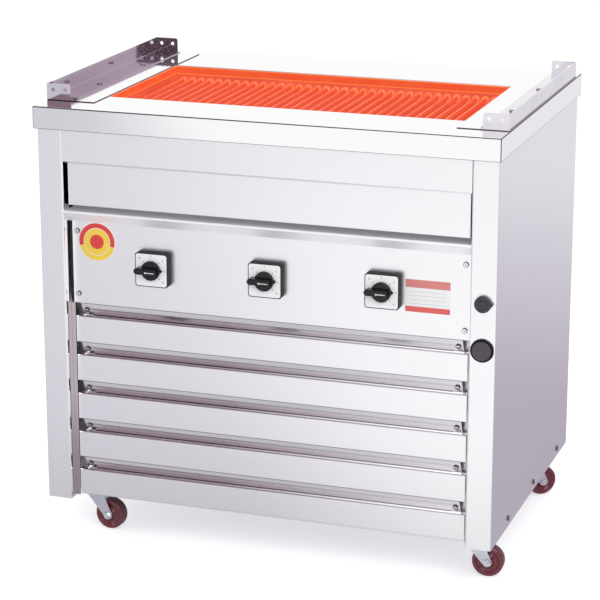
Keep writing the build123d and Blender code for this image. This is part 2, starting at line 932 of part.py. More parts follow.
def button_spring():
    # a compression spring between the barrel's floor and the cap's back
    start = face_y + button_skirt + spring_wire / 2 + running_gap
    end = face_y + button_barrel_depth - button_barrel_floor - spring_wire / 2 - running_gap
    pitch = (end - start) / spring_turns
    radius = (spring_d - spring_wire) / 2
    helix = Helix(pitch, end - start, radius)
    section = Plane(origin=helix @ 0, z_dir=helix % 0) * Circle(spring_wire / 2)
    coil = sweep(section, path=helix, is_frenet=True)
    frame = Plane(origin=(post_middle, start, button_z), x_dir=(1, 0, 0), z_dir=(0, 1, 0))
    return frame.location * coil


# Supply and wiring
def cable_gland():
    x, z = gland_place()
    inner = rear_y
    outer = rear_y + sheet
    gland = bar((x, outer, z), (x, outer + gland_rise, z), gland_d)
    gland = fillet(gland.edges().sort_by(Axis.Y)[-1], button_edge)
    gland += bar((x, inner, z), (x, outer, z), gland_neck_d)
    gland += bar((x, inner - gland_nut, z), (x, inner, z), gland_d)
    far = (x, outer + gland_rise + overrun, z)
    return gland - bar((x, inner - gland_nut - overrun, z), far, gland_bore)


def terminal_block():
    x, z = gland_place()
    floor = base_height + base_sheet
    y = rear_y - block_gap
    block = slab(
        (x - block_length / 2, x + block_length / 2),
        (y - block_width, y),
        (floor, floor + block_height),
    )
    way = block_length / block_ways
    slot_y = (y - block_width - overrun, y + overrun)
    slot_z = (floor + block_height / 2, floor + block_height + overrun)
    for i in range(block_ways - 1):
        wall_x = x - block_length / 2 + (i + 1) * way
        block -= slab((wall_x - block_slot / 2, wall_x + block_slot / 2), slot_y, slot_z)
    return block


def wiring_loom(x):
    # from the back of a switch along the cabinet and up into the cover over the heater ends
    start = panel_y + sheet + switch_body_depth
    corners = [
        (x, start, switch_z),
        (x, loom_rise_y, switch_z),
        (x, loom_rise_y, heater_z),
        (x, cover_back, heater_z),
    ]
    route = FilletPolyline(*corners, radius=loom_bend)
    section = Plane(origin=route @ 0, z_dir=route % 0) * Circle(loom_d / 2)
    return sweep(section, path=route)


# Casters
def caster_axis(name):
    # the place of a caster's swivel pin, and the angle of its trail
    x = caster_x if name.endswith("right") else -caster_x
    y = caster_y if name.startswith("rear") else -caster_y
    return x, y, caster_turns[name]


def plate_bolts(name):
    x, y, turn = caster_axis(name)
    reach_x = plate_length / 2 - plate_bolt_inset
    reach_y = plate_width / 2 - plate_bolt_inset
    return [(x + i * reach_x, y + j * reach_y) for i in (-1, 1) for j in (-1, 1)]


def caster_plate(name):
    # top plate, ball race and king pin of one caster, which stay with the cabinet
    x, y, turn = caster_axis(name)
    plate_z = (base_height - plate_thickness, base_height)
    half_x = plate_length / 2
    half_y = plate_width / 2
    plate = slab((x - half_x, x + half_x), (y - half_y, y + half_y), plate_z)
    for bolt_x, bolt_y in plate_bolts(name):
        low = (bolt_x, bolt_y, base_height - plate_thickness - overrun)
        plate -= bar(low, (bolt_x, bolt_y, base_height + overrun), plate_bolt_d + 2 * screw_clearance)
    plate += bar((x, y, race_bottom), (x, y, base_height - plate_thickness), race_d)
    head_top = crown_bottom - running_gap
    plate += bar((x, y, head_top), (x, y, race_bottom), king_pin_d)
    return plate + bar((x, y, head_top - king_pin_head), (x, y, head_top), king_pin_head_d)


def caster_bolt(x, y):
    under = base_height - plate_thickness
    head = bar((x, y, under - plate_bolt_head), (x, y, under), plate_bolt_head_d)
    top = base_height + base_sheet
    bolt = head + bar((x, y, under), (x, y, top + plate_bolt_nut), plate_bolt_d)
    nut = bar((x, y, top), (x, y, top + plate_bolt_nut), plate_bolt_head_d)
    return bolt + nut


def caster_frame(name):
    # the caster's own frame: X along its trail, Z up the swivel axis from the floor
    x, y, turn = caster_axis(name)
    return Location((x, y, 0), (0, 0, turn))


def fork_leg():
    # one side of the fork: it tapers from the crown down to a round boss at the axle
    half = fork_crown_d / 2 - fork_sheet
    top = Pos(0, (crown_top + crown_bottom) / 2) * Rectangle(2 * half, fork_crown)
    boss = Pos(caster_trail, axle_z) * Circle(fork_boss_d / 2)
    outline = make_hull(top.edges() + boss.edges())
    return Pos(0, leg_inside + fork_sheet, 0) * extrude(Plane.XZ * outline, fork_sheet, dir=(0, -1, 0))


def caster_fork(name):
    crown = bar((0, 0, crown_bottom), (0, 0, crown_top), fork_crown_d)
    leg = fork_leg()
    fork = crown + leg + mirror(leg, about=Plane.XZ)
    pin_bore = king_pin_d + 2 * shaft_clearance
    fork -= bar((0, 0, crown_bottom - overrun), (0, 0, crown_top + overrun), pin_bore)
    reach = leg_inside + fork_sheet
    far = reach + overrun
    axle_bore = axle_d + 2 * screw_clearance
    fork -= bar((caster_trail, -far, axle_z), (caster_trail, far, axle_z), axle_bore)
    axle = bar((caster_trail, -reach, axle_z), (caster_trail, reach, axle_z), axle_d)
    for side in (-1, 1):
        head_end = (caster_trail, side * (reach + axle_head), axle_z)
        axle += bar((caster_trail, side * reach, axle_z), head_end, axle_head_d)
    return [caster_frame(name) * fork, caster_frame(name) * axle]


def caster_wheel(name):
    # hub, dished web and rounded tyre, turned about the axle
    tyre = wheel_width / 2
    hub = wheel_hub_width / 2
    web = tyre - wheel_dish
    rim = wheel_rim_d / 2
    hub_r = wheel_hub_d / 2
    outer = wheel_d / 2
    bore = axle_d / 2 + shaft_clearance
    half = [(hub, bore), (hub, hub_r), (web, hub_r + wheel_dish), (web, rim - wheel_dish), (tyre, rim)]
    half += [(tyre, outer - wheel_shoulder), (tyre - wheel_shoulder, outer)]
    profile = half + [(-a, r) for a, r in half[::-1]]
    section = Plane.XY * make_face(Polyline(*[(r, a) for a, r in profile], close=True))
    turned = revolve(section, Axis.Y)
    return caster_frame(name) * Pos(caster_trail, 0, axle_z) * turned


# Every piece goes to its own file
def save_cabinet():
    right = right_shell()
    holed = right
    for cut in post_holes():
        holed -= cut
    save("right_side_shell", holed)
    save("left_side_shell", mirrored(right))
    save("base_pan", base_pan())
    save("rear_panel", rear_panel())
    save("front_fascia", front_fascia())
    save("drip_awning", drip_awning())
    save("control_panel", control_panel())
    for row in range(louvre_count):
        save(f"louvre_blade_{row + 1}", louvre_blade(row))
    bracket = right_bracket()
    save("right_louvre_bracket", bracket)
    save("left_louvre_bracket", mirrored(bracket))


def save_cooking_top():
    deck = top_deck()
    plate = drilled(right_side_plate(), rail_screw_places(), (0, 0, 1))
    deck = drilled(deck, rail_screw_places(), (0, 0, 1))
    deck = drilled(deck, left_of(rail_screw_places()), (0, 0, 1))
    rail = right_rail()
    save("top_deck", deck)
    save("right_side_plate", plate)
    save("left_side_plate", mirrored(plate))
    save("right_rail", rail)
    save("left_rail", mirrored(rail))
    save("fire_box", fire_box())
    for bank, name in enumerate(bank_names):
        save(f"{name}_heater_bank", *heater_bank(bank))
    save("heater_bushes", *heater_bushes())
    save("heater_rest_bar", heater_rest_bar())
    save("heater_links", *heater_links())
    save("terminal_cover", terminal_cover())


def save_drawer():
    save("drawer_front", drawer_front())
    save("drip_tray", drip_tray())
    runner = right_runner()
    save("right_drawer_runner", runner)
    save("left_drawer_runner", mirrored(runner))
    save("drawer_shelf", drawer_shelf())


def save_controls():
    for name, x in zip(bank_names, switch_rows()):
        save(f"{name}_switch_body", switch_body(x))
        save(f"{name}_switch_knob", switch_knob(x))
    save("legend_plates", *[legend_plate(x) for x in switch_rows()])
    save("selector_body", selector_body())
    save("selector_knob", selector_knob())
    save("button_housing", button_housing())
    save("push_button", push_button())
    save("button_spring", button_spring())
    save("cable_gland", cable_gland())
    save("terminal_block", terminal_block())
    save("wiring_looms", *[wiring_loom(x) for x in switch_rows()])


def save_screws():
    front = [screw(place, (0, -1, 0)) for place in panel_screw_places()]
    front += [screw(*band_screw(side, bend)) for side in (-1, 1) for bend in band_bends()]
    save("front_screws", *front)
    right = [screw(place, (1, 0, 0)) for place in side_screw_places()]
    right += [screw(place, (0, 1, 0)) for place in rear_screw_places()]
    save("cabinet_screws", *right, *[mirrored(piece) for piece in right])
    right = [screw(place, (0, 0, 1)) for place in rail_screw_places()]
    save("rail_screws", *right, *[mirrored(piece) for piece in right])


def save_casters():
    save("caster_plates", *[caster_plate(name) for name in caster_turns])
    bolts = [caster_bolt(*spot) for name in caster_turns for spot in plate_bolts(name)]
    save("caster_bolts", *bolts)
    for name in caster_turns:
        save(f"{name}_fork", *caster_fork(name))
        save(f"{name}_wheel", caster_wheel(name))


save_cabinet()
save_cooking_top()
save_drawer()
save_controls()
save_screws()
save_casters()
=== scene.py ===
import bpy
import bmesh
import json
import math
from mathutils import Matrix, Vector


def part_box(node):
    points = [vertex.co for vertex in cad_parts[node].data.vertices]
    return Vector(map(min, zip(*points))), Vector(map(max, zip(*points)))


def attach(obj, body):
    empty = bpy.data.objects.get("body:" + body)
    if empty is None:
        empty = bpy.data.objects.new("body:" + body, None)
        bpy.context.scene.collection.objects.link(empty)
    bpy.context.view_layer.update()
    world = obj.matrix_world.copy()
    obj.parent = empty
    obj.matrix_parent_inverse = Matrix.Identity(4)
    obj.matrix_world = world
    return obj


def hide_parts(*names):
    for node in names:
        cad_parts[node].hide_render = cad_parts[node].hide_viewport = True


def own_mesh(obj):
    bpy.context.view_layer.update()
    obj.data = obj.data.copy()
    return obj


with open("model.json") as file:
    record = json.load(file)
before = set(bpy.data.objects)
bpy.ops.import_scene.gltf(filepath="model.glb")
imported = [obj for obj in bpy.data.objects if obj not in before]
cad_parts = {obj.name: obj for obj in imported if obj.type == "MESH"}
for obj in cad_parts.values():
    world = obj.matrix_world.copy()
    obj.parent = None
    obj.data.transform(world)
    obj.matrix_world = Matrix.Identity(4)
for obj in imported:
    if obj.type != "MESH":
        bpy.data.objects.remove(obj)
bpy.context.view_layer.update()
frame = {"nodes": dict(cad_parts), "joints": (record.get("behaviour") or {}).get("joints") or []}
nodes = frame["nodes"]
scene = bpy.context.scene
scene.view_settings.view_transform = "Standard"
print("frame loaded:", len(nodes), "nodes")


photoCamera = {
    "aim": (-0.0361, 0.0, 0.4690),
    "azimuth": 18.86,  # degrees to the right of straight in front
    "elevation": 16.15,
    "distance": 4.931,
    "lens": 139.52,
    "sensor": 36.0,
}


def stand(name, data):
    thing = bpy.data.objects.new(name, data)
    scene.collection.objects.link(thing)
    return thing


def placeCamera(look):
    turn = math.radians(look["azimuth"])
    rise = math.radians(look["elevation"])
    outward = Vector((math.sin(turn) * math.cos(rise), -math.cos(turn) * math.cos(rise), math.sin(rise)))
    lens = bpy.data.cameras.new("photoCamera")
    lens.lens = look["lens"]
    lens.sensor_width = look["sensor"]
    lens.clip_end = 200.0
    camera = stand("photoCamera", lens)
    camera.location = Vector(look["aim"]) + outward * look["distance"]
    camera.rotation_euler = (-outward).to_track_quat("-Z", "Y").to_euler()
    scene.camera = camera


placeCamera(photoCamera)
print("camera placed")


# shader plumbing; a socket knows the tree that it belongs to
def isSocket(value):
    return isinstance(value, bpy.types.NodeSocket)


def feed(socket, value):
    # a socket takes either a link or a plain value
    if isSocket(value):
        socket.id_data.links.new(value, socket)
    else:
        socket.default_value = value


def addNode(tree, kind, **settings):
    node = tree.nodes.new(f"ShaderNode{kind}")
    for key, value in settings.items():
        setattr(node, key, value)
    return node


def wired(tree, kind, *values, **settings):
    # the outputs of a new node, with its first sockets fed in order
    node = addNode(tree, kind, **settings)
    for socket, value in zip(node.inputs, values):
        feed(socket, value)
    return node.outputs


def compute(operation, first, second=0.0):
    tree = (first if isSocket(first) else second).id_data
    return wired(tree, "Math", first, second, operation=operation)[0]


def chained(operation):
    def apply(first, *others):
        for other in others:
            first = compute(operation, first, other)
        return first
    return apply


times, plus, minus = chained("MULTIPLY"), chained("ADD"), chained("SUBTRACT")
largest, over, under = chained("MAXIMUM"), chained("GREATER_THAN"), chained("LESS_THAN")


def magnitude(value):
    return compute("ABSOLUTE", value)


def spread(value, low, high, outLow=0.0, outHigh=1.0, soft=False):
    curve = "SMOOTHSTEP" if soft else "LINEAR"
    given = (value, low, high, outLow, outHigh)
    return wired(value.id_data, "MapRange", *given, clamp=True, interpolation_type=curve)[0]


def ramp(mask, low, high):
    # goes from low to high as a mask goes from 0 to 1
    return spread(mask, 0.0, 1.0, low, high)


def blendColour(factor, first, second):
    node = addNode(factor.id_data, "Mix", data_type="RGBA")
    feed(node.inputs["Factor"], factor)
    for socket, value in ((node.inputs[6], first), (node.inputs[7], second)):
        feed(socket, value if isSocket(value) else (*value, 1.0))
    return node.outputs[2]


def noise(place, scale, detail=3.0, roughness=0.55, distortion=0.0):
    node = addNode(place.id_data, "TexNoise")
    labels = ("Vector", "Scale", "Detail", "Roughness", "Distortion")
    for label, value in zip(labels, (place, scale, detail, roughness, distortion)):
        feed(node.inputs[label], value)
    return node.outputs[0]


def vectorMath(operation, *vectors):
    return wired(vectors[0].id_data, "VectorMath", *vectors, operation=operation)


def parts(vector):
    return wired(vector.id_data, "SeparateXYZ", vector)


def objectPlace(tree):
    return addNode(tree, "TexCoord").outputs["Object"]


def placeParts(tree):
    return parts(objectPlace(tree))


def normalParts(tree):
    return parts(addNode(tree, "NewGeometry").outputs["Normal"])


def startGroup(name, inputs, outputs):
    group = bpy.data.node_groups.new(name, "ShaderNodeTree")
    for label, default in inputs.items():
        kind = "NodeSocketVector" if isinstance(default, tuple) else "NodeSocketFloat"
        group.interface.new_socket(name=label, in_out="INPUT", socket_type=kind).default_value = default
    for label in outputs:
        group.interface.new_socket(name=label, in_out="OUTPUT", socket_type="NodeSocketFloat")
    given, result = group.nodes.new("NodeGroupInput"), group.nodes.new("NodeGroupOutput")
    return group, given.outputs, result.inputs


def makeBrushedGrain():
    # long fine strands from the brushing belt, and a slow cloud over the whole sheet
    inputs = {"Stretch": (5.0, 700.0, 700.0), "Cloud Scale": 3.0}
    group, given, result = startGroup("brushedGrain", inputs, ["Strands", "Cloud"])
    place = objectPlace(group)
    drawn = vectorMath("MULTIPLY", place, given["Stretch"])[0]
    fine = noise(drawn, 1.0, detail=4.0, roughness=0.7)
    coarse = noise(drawn, 0.21, detail=2.0)
    feed(result["Strands"], spread(plus(times(coarse, 0.2), times(fine, 0.8)), 0.3, 0.7))
    feed(result["Cloud"], spread(noise(place, given["Cloud Scale"]), 0.3, 0.7, soft=True))
    return group


def makeHandling():
    # greasy touches and wiping marks, patchy over the sheet
    group, given, result = startGroup("handlingMarks", {"Scale": 9.0, "Cover": 0.5}, ["Marks"])
    patches = noise(objectPlace(group), given["Scale"], detail=5.0, roughness=0.62, distortion=0.6)
    threshold = minus(1.0, given["Cover"])
    feed(result["Marks"], spread(patches, threshold, plus(threshold, 0.22), soft=True))
    return group


def makeFloorDust():
    # dust that settles thicker towards the floor
    group, given, result = startGroup("floorDust", {"Rise": 0.25, "Grit": 60.0}, ["Dust"])
    place = objectPlace(group)
    level = spread(parts(place)["Z"], given["Rise"], 0.0, soft=True)
    grit = noise(place, given["Grit"], detail=6.0, roughness=0.7)
    feed(result["Dust"], times(level, spread(grit, 0.35, 0.75)))
    return group


def makeEmberGlow():
    # how strongly a place near the heaters glows, by height and in slow patches
    inputs = {"Level": 0.892, "Reach": 0.06, "Patches": 14.0}
    group, given, result = startGroup("emberGlow", inputs, ["Glow", "Patch"])
    place = objectPlace(group)
    away = magnitude(minus(parts(place)["Z"], given["Level"]))
    near = spread(away, given["Reach"], 0.0, soft=True)
    patch = spread(noise(place, given["Patches"]), 0.3, 0.7)
    feed(result["Glow"], times(near, ramp(patch, 0.7, 1.0)))
    feed(result["Patch"], patch)
    return group


def makeMouldGrain():
    # spark-eroded texture of moulded plastic
    group, given, result = startGroup("mouldGrain", {"Scale": 900.0}, ["Grain", "Wear"])
    place = objectPlace(group)
    feed(result["Grain"], spread(noise(place, given["Scale"], detail=2.0), 0.3, 0.7))
    feed(result["Wear"], spread(noise(place, 55.0, detail=5.0, roughness=0.7), 0.45, 0.75))
    return group


def makeTurnedRings():
    # rings round an axle, told by the distance from its line
    inputs = {"Centre": (0.0, 0.0, 0.0), "Axle": (0.0, 1.0, 0.0), "Pitch": 0.003}
    group, given, result = startGroup("turnedRings", inputs, ["Radius", "Rings"])
    away = vectorMath("SUBTRACT", objectPlace(group), given["Centre"])[0]
    radius = vectorMath("LENGTH", vectorMath("CROSS_PRODUCT", away, given["Axle"])[0])["Value"]
    feed(result["Radius"], radius)
    wave = compute("SINE", times(compute("DIVIDE", radius, given["Pitch"]), math.tau))
    feed(result["Rings"], spread(wave, -1.0, 1.0))
    return group


brushedGrain = makeBrushedGrain()
handlingMarks = makeHandling()
floorDust = makeFloorDust()
emberGlow = makeEmberGlow()
mouldGrain = makeMouldGrain()
turnedRings = makeTurnedRings()
print("shader groups:", len(bpy.data.node_groups))


def useGroup(tree, group, **values):
    node = addNode(tree, "Group", node_tree=group)
    for label, value in values.items():
        feed(node.inputs[label.replace("_", " ")], value)
    return node.outputs


def startMaterial(name, **fixed):
    material = bpy.data.materials.new(name)
    material.use_nodes = True
    tree = material.node_tree
    sockets = tree.nodes["Principled BSDF"].inputs
    for label, value in fixed.items():
        sockets[label.replace("_", " ")].default_value = value
    return material, tree, sockets


def coat(sockets, look, colour, rough, height):
    # the colour, the shine and the relief of a finish
    feed(sockets["Base Color"], colour)
    feed(sockets["Roughness"], rough)
    bump = addNode(height.id_data, "Bump")
    for label, value in (("Height", height), ("Strength", look["bump"]), ("Distance", look["bumpDepth"])):
        feed(bump.inputs[label], value)
    feed(sockets["Normal"], bump.outputs[0])


def patchyCoat(sockets, look, mask):
    # one mask sets all three
    coat(sockets, look, blendColour(mask, *look["tones"]), ramp(mask, *look["rough"]), mask)


def lay(socket, mask, value):
    # lays a colour or a number over what already reaches a socket
    below = socket.links[0].from_socket
    feed(socket, blendColour(mask, below, value) if isinstance(value, tuple) else ramp(mask, below, value))


def glow(sockets, mask, tone, strength):
    feed(sockets["Emission Color"], blendColour(mask, (0.0, 0.0, 0.0), tone))
    sockets["Emission Strength"].default_value = strength


# stainless sheet; each finish has its own brushing direction and polish
def brushedSheet(name, look, **fixed):
    material, tree, sockets = startMaterial(name, Metallic=1.0, **fixed)
    grain = useGroup(tree, brushedGrain, Stretch=look["stretch"], Cloud_Scale=look["cloud"])
    marks = useGroup(tree, handlingMarks, Scale=look["markScale"], Cover=look["markCover"])["Marks"]
    dust = useGroup(tree, floorDust, Rise=look["dustRise"], Grit=look["dustGrit"])["Dust"]
    colour = blendColour(grain["Strands"], look["dark"], look["light"])
    colour = blendColour(times(grain["Cloud"], look["cloudShare"]), colour, look["tint"])
    colour = blendColour(times(dust, look["dustShare"]), colour, look["dust"])
    rough = ramp(grain["Strands"], *look["rough"])
    rough = plus(rough, times(marks, look["markRough"]), times(dust, look["dustRough"]))
    coat(sockets, look, colour, rough, grain["Strands"])
    return material, tree, sockets


frontSheetLook = {
    "stretch": (2.5, 1500.0, 1500.0),  # brushed from side to side
    "cloud": 2.6,
    "light": (0.965, 0.96, 0.975),
    "dark": (0.935, 0.928, 0.948),
    "tint": (0.93, 0.92, 0.945),
    "cloudShare": 0.3,
    "rough": (0.27, 0.34),
    "markScale": 7.0,
    "markCover": 0.42,
    "markRough": 0.05,
    "dustRise": 0.30,
    "dustGrit": 85.0,
    "dustShare": 0.08,
    "dustRough": 0.1,
    "dust": (0.66, 0.63, 0.64),
    "bump": 0.035,
    "bumpDepth": 0.0004,
}
shellSheetLook = dict(frontSheetLook, stretch=(1500.0, 1500.0, 2.5), cloud=1.8, rough=(0.28, 0.36))
# painted light: the awning's sheet is a lighter copy of the front's
awningSheetLook = dict(
    frontSheetLook, light=(0.985, 0.98, 0.99), dark=(0.96, 0.955, 0.97), rough=(0.50, 0.60)
)
deckSheetLook = dict(
    frontSheetLook,
    light=(0.97, 0.967, 0.975),
    dark=(0.955, 0.951, 0.962),
    tint=(0.95, 0.946, 0.957),
    rough=(0.05, 0.09),
    markCover=0.36,
    markRough=0.03,
    bump=0.012,
)
platesLook = dict(deckSheetLook, stretch=(1500.0, 2.5, 1500.0), rough=(0.03, 0.06), markRough=0.02)
traySheetLook = dict(
    frontSheetLook, light=(0.72, 0.70, 0.70), dark=(0.60, 0.58, 0.58), markCover=0.6, markRough=0.2
)
baseSheetLook = dict(frontSheetLook, light=(0.62, 0.61, 0.63), dark=(0.52, 0.51, 0.54), rough=(0.34, 0.46))

foldLook = {
    "rough": 0.14,
    "flat": (0.97, 0.90),  # faces that look forwards less than this are folds
    "upward": (0.6, 0.9),
    "bandDrop": 0.0260,
    "hemDrop": 0.0272,
    "creaseHalf": 0.0008,
    "creaseDepth": 0.0030,  # behind the front faces
    # painted shade: the tone of the dark lines along the creases
    "creaseShade": (0.34, 0.31, 0.34),
    "lit": (0.93, 0.94, 0.97),  # light that the hems catch, growing from left to right
    "litSpan": (-0.10, 0.36),
    "litStrength": 0.3,
}


def foldedSheet(name, look, fold):
    # the belt brushes the flat faces after folding; hems and bands stay bright, and thin dark lines of
    # painted shade run along the creases
    material, tree, sockets = brushedSheet(name, look)
    place, turned = placeParts(tree), normalParts(tree)
    lay(sockets["Roughness"], spread(times(turned["Y"], -1.0), *fold["flat"]), fold["rough"])
    panel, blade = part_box("control_panel")[0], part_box("louvre_blade_1")[0]
    half = fold["creaseHalf"]
    below = minus(panel[2] + fold["bandDrop"] + half, place["Z"])
    onFolds = over(below, 0.0)
    step = compute("MODULO", below, panel[2] - blade[2])
    hem = magnitude(minus(step, fold["hemDrop"] + half))
    lines = largest(under(step, 2.0 * half), under(hem, half))
    lines = times(lines, onFolds, under(place["Y"], panel[1] + fold["creaseDepth"]))
    # painted shade: thin dark lines at each band's fold and at each hem
    lay(sockets["Base Color"], lines, fold["creaseShade"])
    lit = times(spread(turned["Z"], *fold["upward"]), onFolds, spread(place["X"], *fold["litSpan"]))
    glow(sockets, lit, fold["lit"], fold["litStrength"])
    return material


frontSheet = foldedSheet("frontSheet", frontSheetLook, foldLook)
# the awning catches the pale floor's light from below
awningSheet = brushedSheet(
    "awningSheet", awningSheetLook, Emission_Color=(0.94, 0.95, 1.0, 1.0), Emission_Strength=0.17
)[0]
traySheet = brushedSheet("traySheet", traySheetLook)[0]
baseSheet = brushedSheet("baseSheet", baseSheetLook)[0]


returnPolish = {
    "inside": 0.4243,
    "behind": -0.3365,
    "rough": 0.05,
    "flange": -0.3124,  # the strip behind this is darkened as painted shade beside the louvres' ends
    "dirtAndShade": (0.47, 0.41, 0.43),
}


def shellMaterial(name, look, polish):
    # the posts' inner returns kept the mill's bright finish, because the belt doesn't reach them
    material, tree, sockets = brushedSheet(name, look)
    place = placeParts(tree)
    turned = times(under(magnitude(place["X"]), polish["inside"]), over(place["Y"], polish["behind"]))
    lay(sockets["Roughness"], turned, polish["rough"])
    # painted shade: the front of the returns behind the flange line is darkened
    lay(sockets["Base Color"], times(turned, over(place["Y"], polish["flange"])), polish["dirtAndShade"])
    return material


shellSheet = shellMaterial("shellSheet", shellSheetLook, returnPolish)


openingGlow = {
    "halfWidth": 0.3754,
    "front": -0.2104,
    "rear": 0.1624,
    "rim": (0.9245, 0.9215),  # between these heights the rounded rim turns to bare steel
    "upperEdge": (0.9195, 0.9225),
    "lowerEdge": (0.9082, 0.9070),
    "edgeShare": 0.8,
    "patchShare": 0.16,
    "ember": (0.80, 0.080, 0.028),
    "brighterGlow": (1.0, 0.30, 0.075),
    "sootAndShade": (0.10, 0.045, 0.035),
    "strength": 1.0,
}
edgeLook = {
    "grime": (0.10, 0.085, 0.10),
    "outside": (0.455, -0.330),  # only edges further out than this get painted shade
    "rounded": (0.985, 0.90),
    "lipEnd": (0.8813, 0.8803),
    "plateEdge": (0.9, 0.4),
}


def deckMaterial(name, look, opening, edge):
    # the deck's sheet, with the heaters' light on the flange that hangs into the opening
    material, tree, sockets = brushedSheet(name, look)
    place, turned = placeParts(tree), normalParts(tree)
    aside = magnitude(place["X"])
    inside = times(over(place["Y"], opening["front"]), under(place["Y"], opening["rear"]))
    inside = times(inside, under(aside, opening["halfWidth"]), spread(place["Z"], *opening["rim"]))
    edges = largest(*(spread(place["Z"], *opening[key]) for key in ("upperEdge", "lowerEdge")))
    ember = useGroup(tree, emberGlow, Level=0.900, Reach=0.05, Patches=18.0)
    lit = largest(times(edges, opening["edgeShare"]), times(ember["Patch"], opening["patchShare"]))
    flattest = largest(*(magnitude(turned[way]) for way in "XYZ"))
    outer = largest(over(aside, edge["outside"][0]), under(place["Y"], edge["outside"][1]))
    rounded = times(outer, spread(flattest, *edge["rounded"]))
    # painted shade: dark lines on the outer rounded edges and along the lip's lower end
    lay(sockets["Base Color"], largest(rounded, spread(place["Z"], *edge["lipEnd"])), edge["grime"])
    lay(sockets["Base Color"], inside, opening["sootAndShade"])
    glow(sockets, inside, blendColour(lit, opening["ember"], opening["brighterGlow"]), opening["strength"])
    return material


def platesMaterial(name, look, edge):
    # thin plates with painted shade along their cut edges
    material, tree, sockets = brushedSheet(name, look)
    lay(sockets["Base Color"], spread(normalParts(tree)["Z"], *edge["plateEdge"]), edge["grime"])
    return material


deckSheet = deckMaterial("deckSheet", deckSheetLook, openingGlow, edgeLook)
platesSheet = platesMaterial("platesSheet", platesLook, edgeLook)


polishedRailLook = {
    "light": (0.83, 0.80, 0.84),
    "dark": (0.75, 0.72, 0.765),
    "rough": (0.05, 0.11),
    "markRough": 0.07,
    "bump": 0.03,
    "bumpDepth": 0.0003,
}
railCorner = {
    "reach": (0.0020, 0.0160, 0.0300),  # behind the plate's face: start, full darkening, end
    "sootAndShade": (0.09, 0.075, 0.09),
    "inward": 0.05,
    "plate": 0.006,
    "facing": -0.5,
    "rearPlateTone": (0.36, 0.31, 0.36),
}


def polishedSteel(name, look):
    # buffed to a mirror: only faint swirls and wiping marks are left
    material, tree, sockets = startMaterial(name, Metallic=1.0)
    swirl = spread(noise(objectPlace(tree), 38.0, detail=4.0, distortion=2.5), 0.3, 0.7)
    grain = useGroup(tree, brushedGrain, Stretch=(600.0, 4.0, 600.0), Cloud_Scale=7.0)
    marks = useGroup(tree, handlingMarks, Scale=22.0, Cover=0.45)["Marks"]
    colour = blendColour(grain["Cloud"], look["light"], look["dark"])
    rough = plus(ramp(swirl, *look["rough"]), times(marks, look["markRough"]))
    coat(sockets, look, colour, rough, grain["Strands"])
    return material, tree, sockets


def railSteel(name, look, corner):
    # painted shade: the corner behind the front end plate is darkened, where it shows dark through the
    # plate's holes
    material, tree, sockets = polishedSteel(name, look)
    place, turned = placeParts(tree), normalParts(tree)
    low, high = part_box("left_rail")
    start, clear, end = (low[1] + reach for reach in corner["reach"])
    inward = under(times(place["X"], turned["X"]), corner["inward"])
    shadedCorner = times(over(place["Y"], start), spread(place["Y"], end, clear), inward)
    lay(sockets["Base Color"], shadedCorner, corner["sootAndShade"])
    # the front face of the left rail's rear plate is painted a darker brown
    rear = times(under(place["X"], 0.0), over(place["Y"], high[1] - corner["plate"]))
    lay(sockets["Base Color"], times(rear, under(turned["Y"], corner["facing"])), corner["rearPlateTone"])
    return material


polishedRail = railSteel("polishedRail", polishedRailLook, railCorner)

screwLook = dict(
    polishedRailLook,
    light=(0.90, 0.90, 0.92),
    dark=(0.80, 0.80, 0.83),
    rough=(0.10, 0.18),
    rim=(0.09, 0.075, 0.09),  # painted shade round the foot of a head
    cleanAndUnshaded=(0.93, 0.998),
    sides=0.4751,
    back=0.3401,
    bandsBelow=0.515,
    slope=(-0.8875, -0.4608),
    panelAt=(0.4065, 0.600, 0.066),  # aside, middle height, half of the spacing
    bandAt=(0.3925, 0.4984, 0.0833),  # aside, uppermost height, spacing
    ring=(0.0046, 0.0039),
)
railScrewLook = dict(screwLook, light=(0.72, 0.69, 0.73), dark=(0.64, 0.61, 0.65), rim=(0.40, 0.36, 0.40))


def ringWithin(look, place, low):
    # 1 inside the painted shade at the edge of a front screw's head, told by the distance from its middle
    panelSide, middle, half = look["panelAt"]
    bandSide, first, pitch = look["bandAt"]
    across = minus(magnitude(place["X"]), ramp(low, panelSide, bandSide))
    panelRise = minus(magnitude(minus(place["Z"], middle)), half)
    below = compute("MODULO", minus(first + pitch / 2, place["Z"]), pitch)
    bandRise = compute("DIVIDE", minus(below, pitch / 2), -look["slope"][0])
    rise = ramp(low, panelRise, bandRise)
    squares = plus(times(across, across), times(rise, rise))
    return spread(compute("SQRT", squares), *look["ring"])


def screwSteel(name, look, facing):
    # bright on top of the head, with painted shade down its side; facing tells which way the heads look
    material, tree, sockets = polishedSteel(name, look)
    place, turned = placeParts(tree), normalParts(tree)
    within = 1.0
    if facing == "front":
        # the screws of the bands look down along the bands' slope
        low = under(place["Z"], look["bandsBelow"])
        within = ringWithin(look, place, low)
        forwards, downwards = (times(turned[way], share) for way, share in zip("YZ", look["slope"]))
        top = ramp(low, times(turned["Y"], -1.0), plus(downwards, forwards))
    elif facing == "up":
        top = turned["Z"]
    else:
        onSide = over(magnitude(place["X"]), look["sides"])
        onBack = over(place["Y"], look["back"])
        top = largest(times(magnitude(turned["X"]), onSide), times(turned["Y"], onBack))
    cleanAndUnshaded = times(spread(top, *look["cleanAndUnshaded"], soft=True), within)
    # painted shade: the side of each head is darkened
    lay(sockets["Base Color"], minus(1.0, cleanAndUnshaded), look["rim"])
    return material


brightSteel = polishedSteel("brightSteel", screwLook)[0]
frontScrew = screwSteel("frontScrew", screwLook, "front")
cabinetScrew = screwSteel("cabinetScrew", screwLook, "sideways")
railScrew = screwSteel("railScrew", railScrewLook, "up")


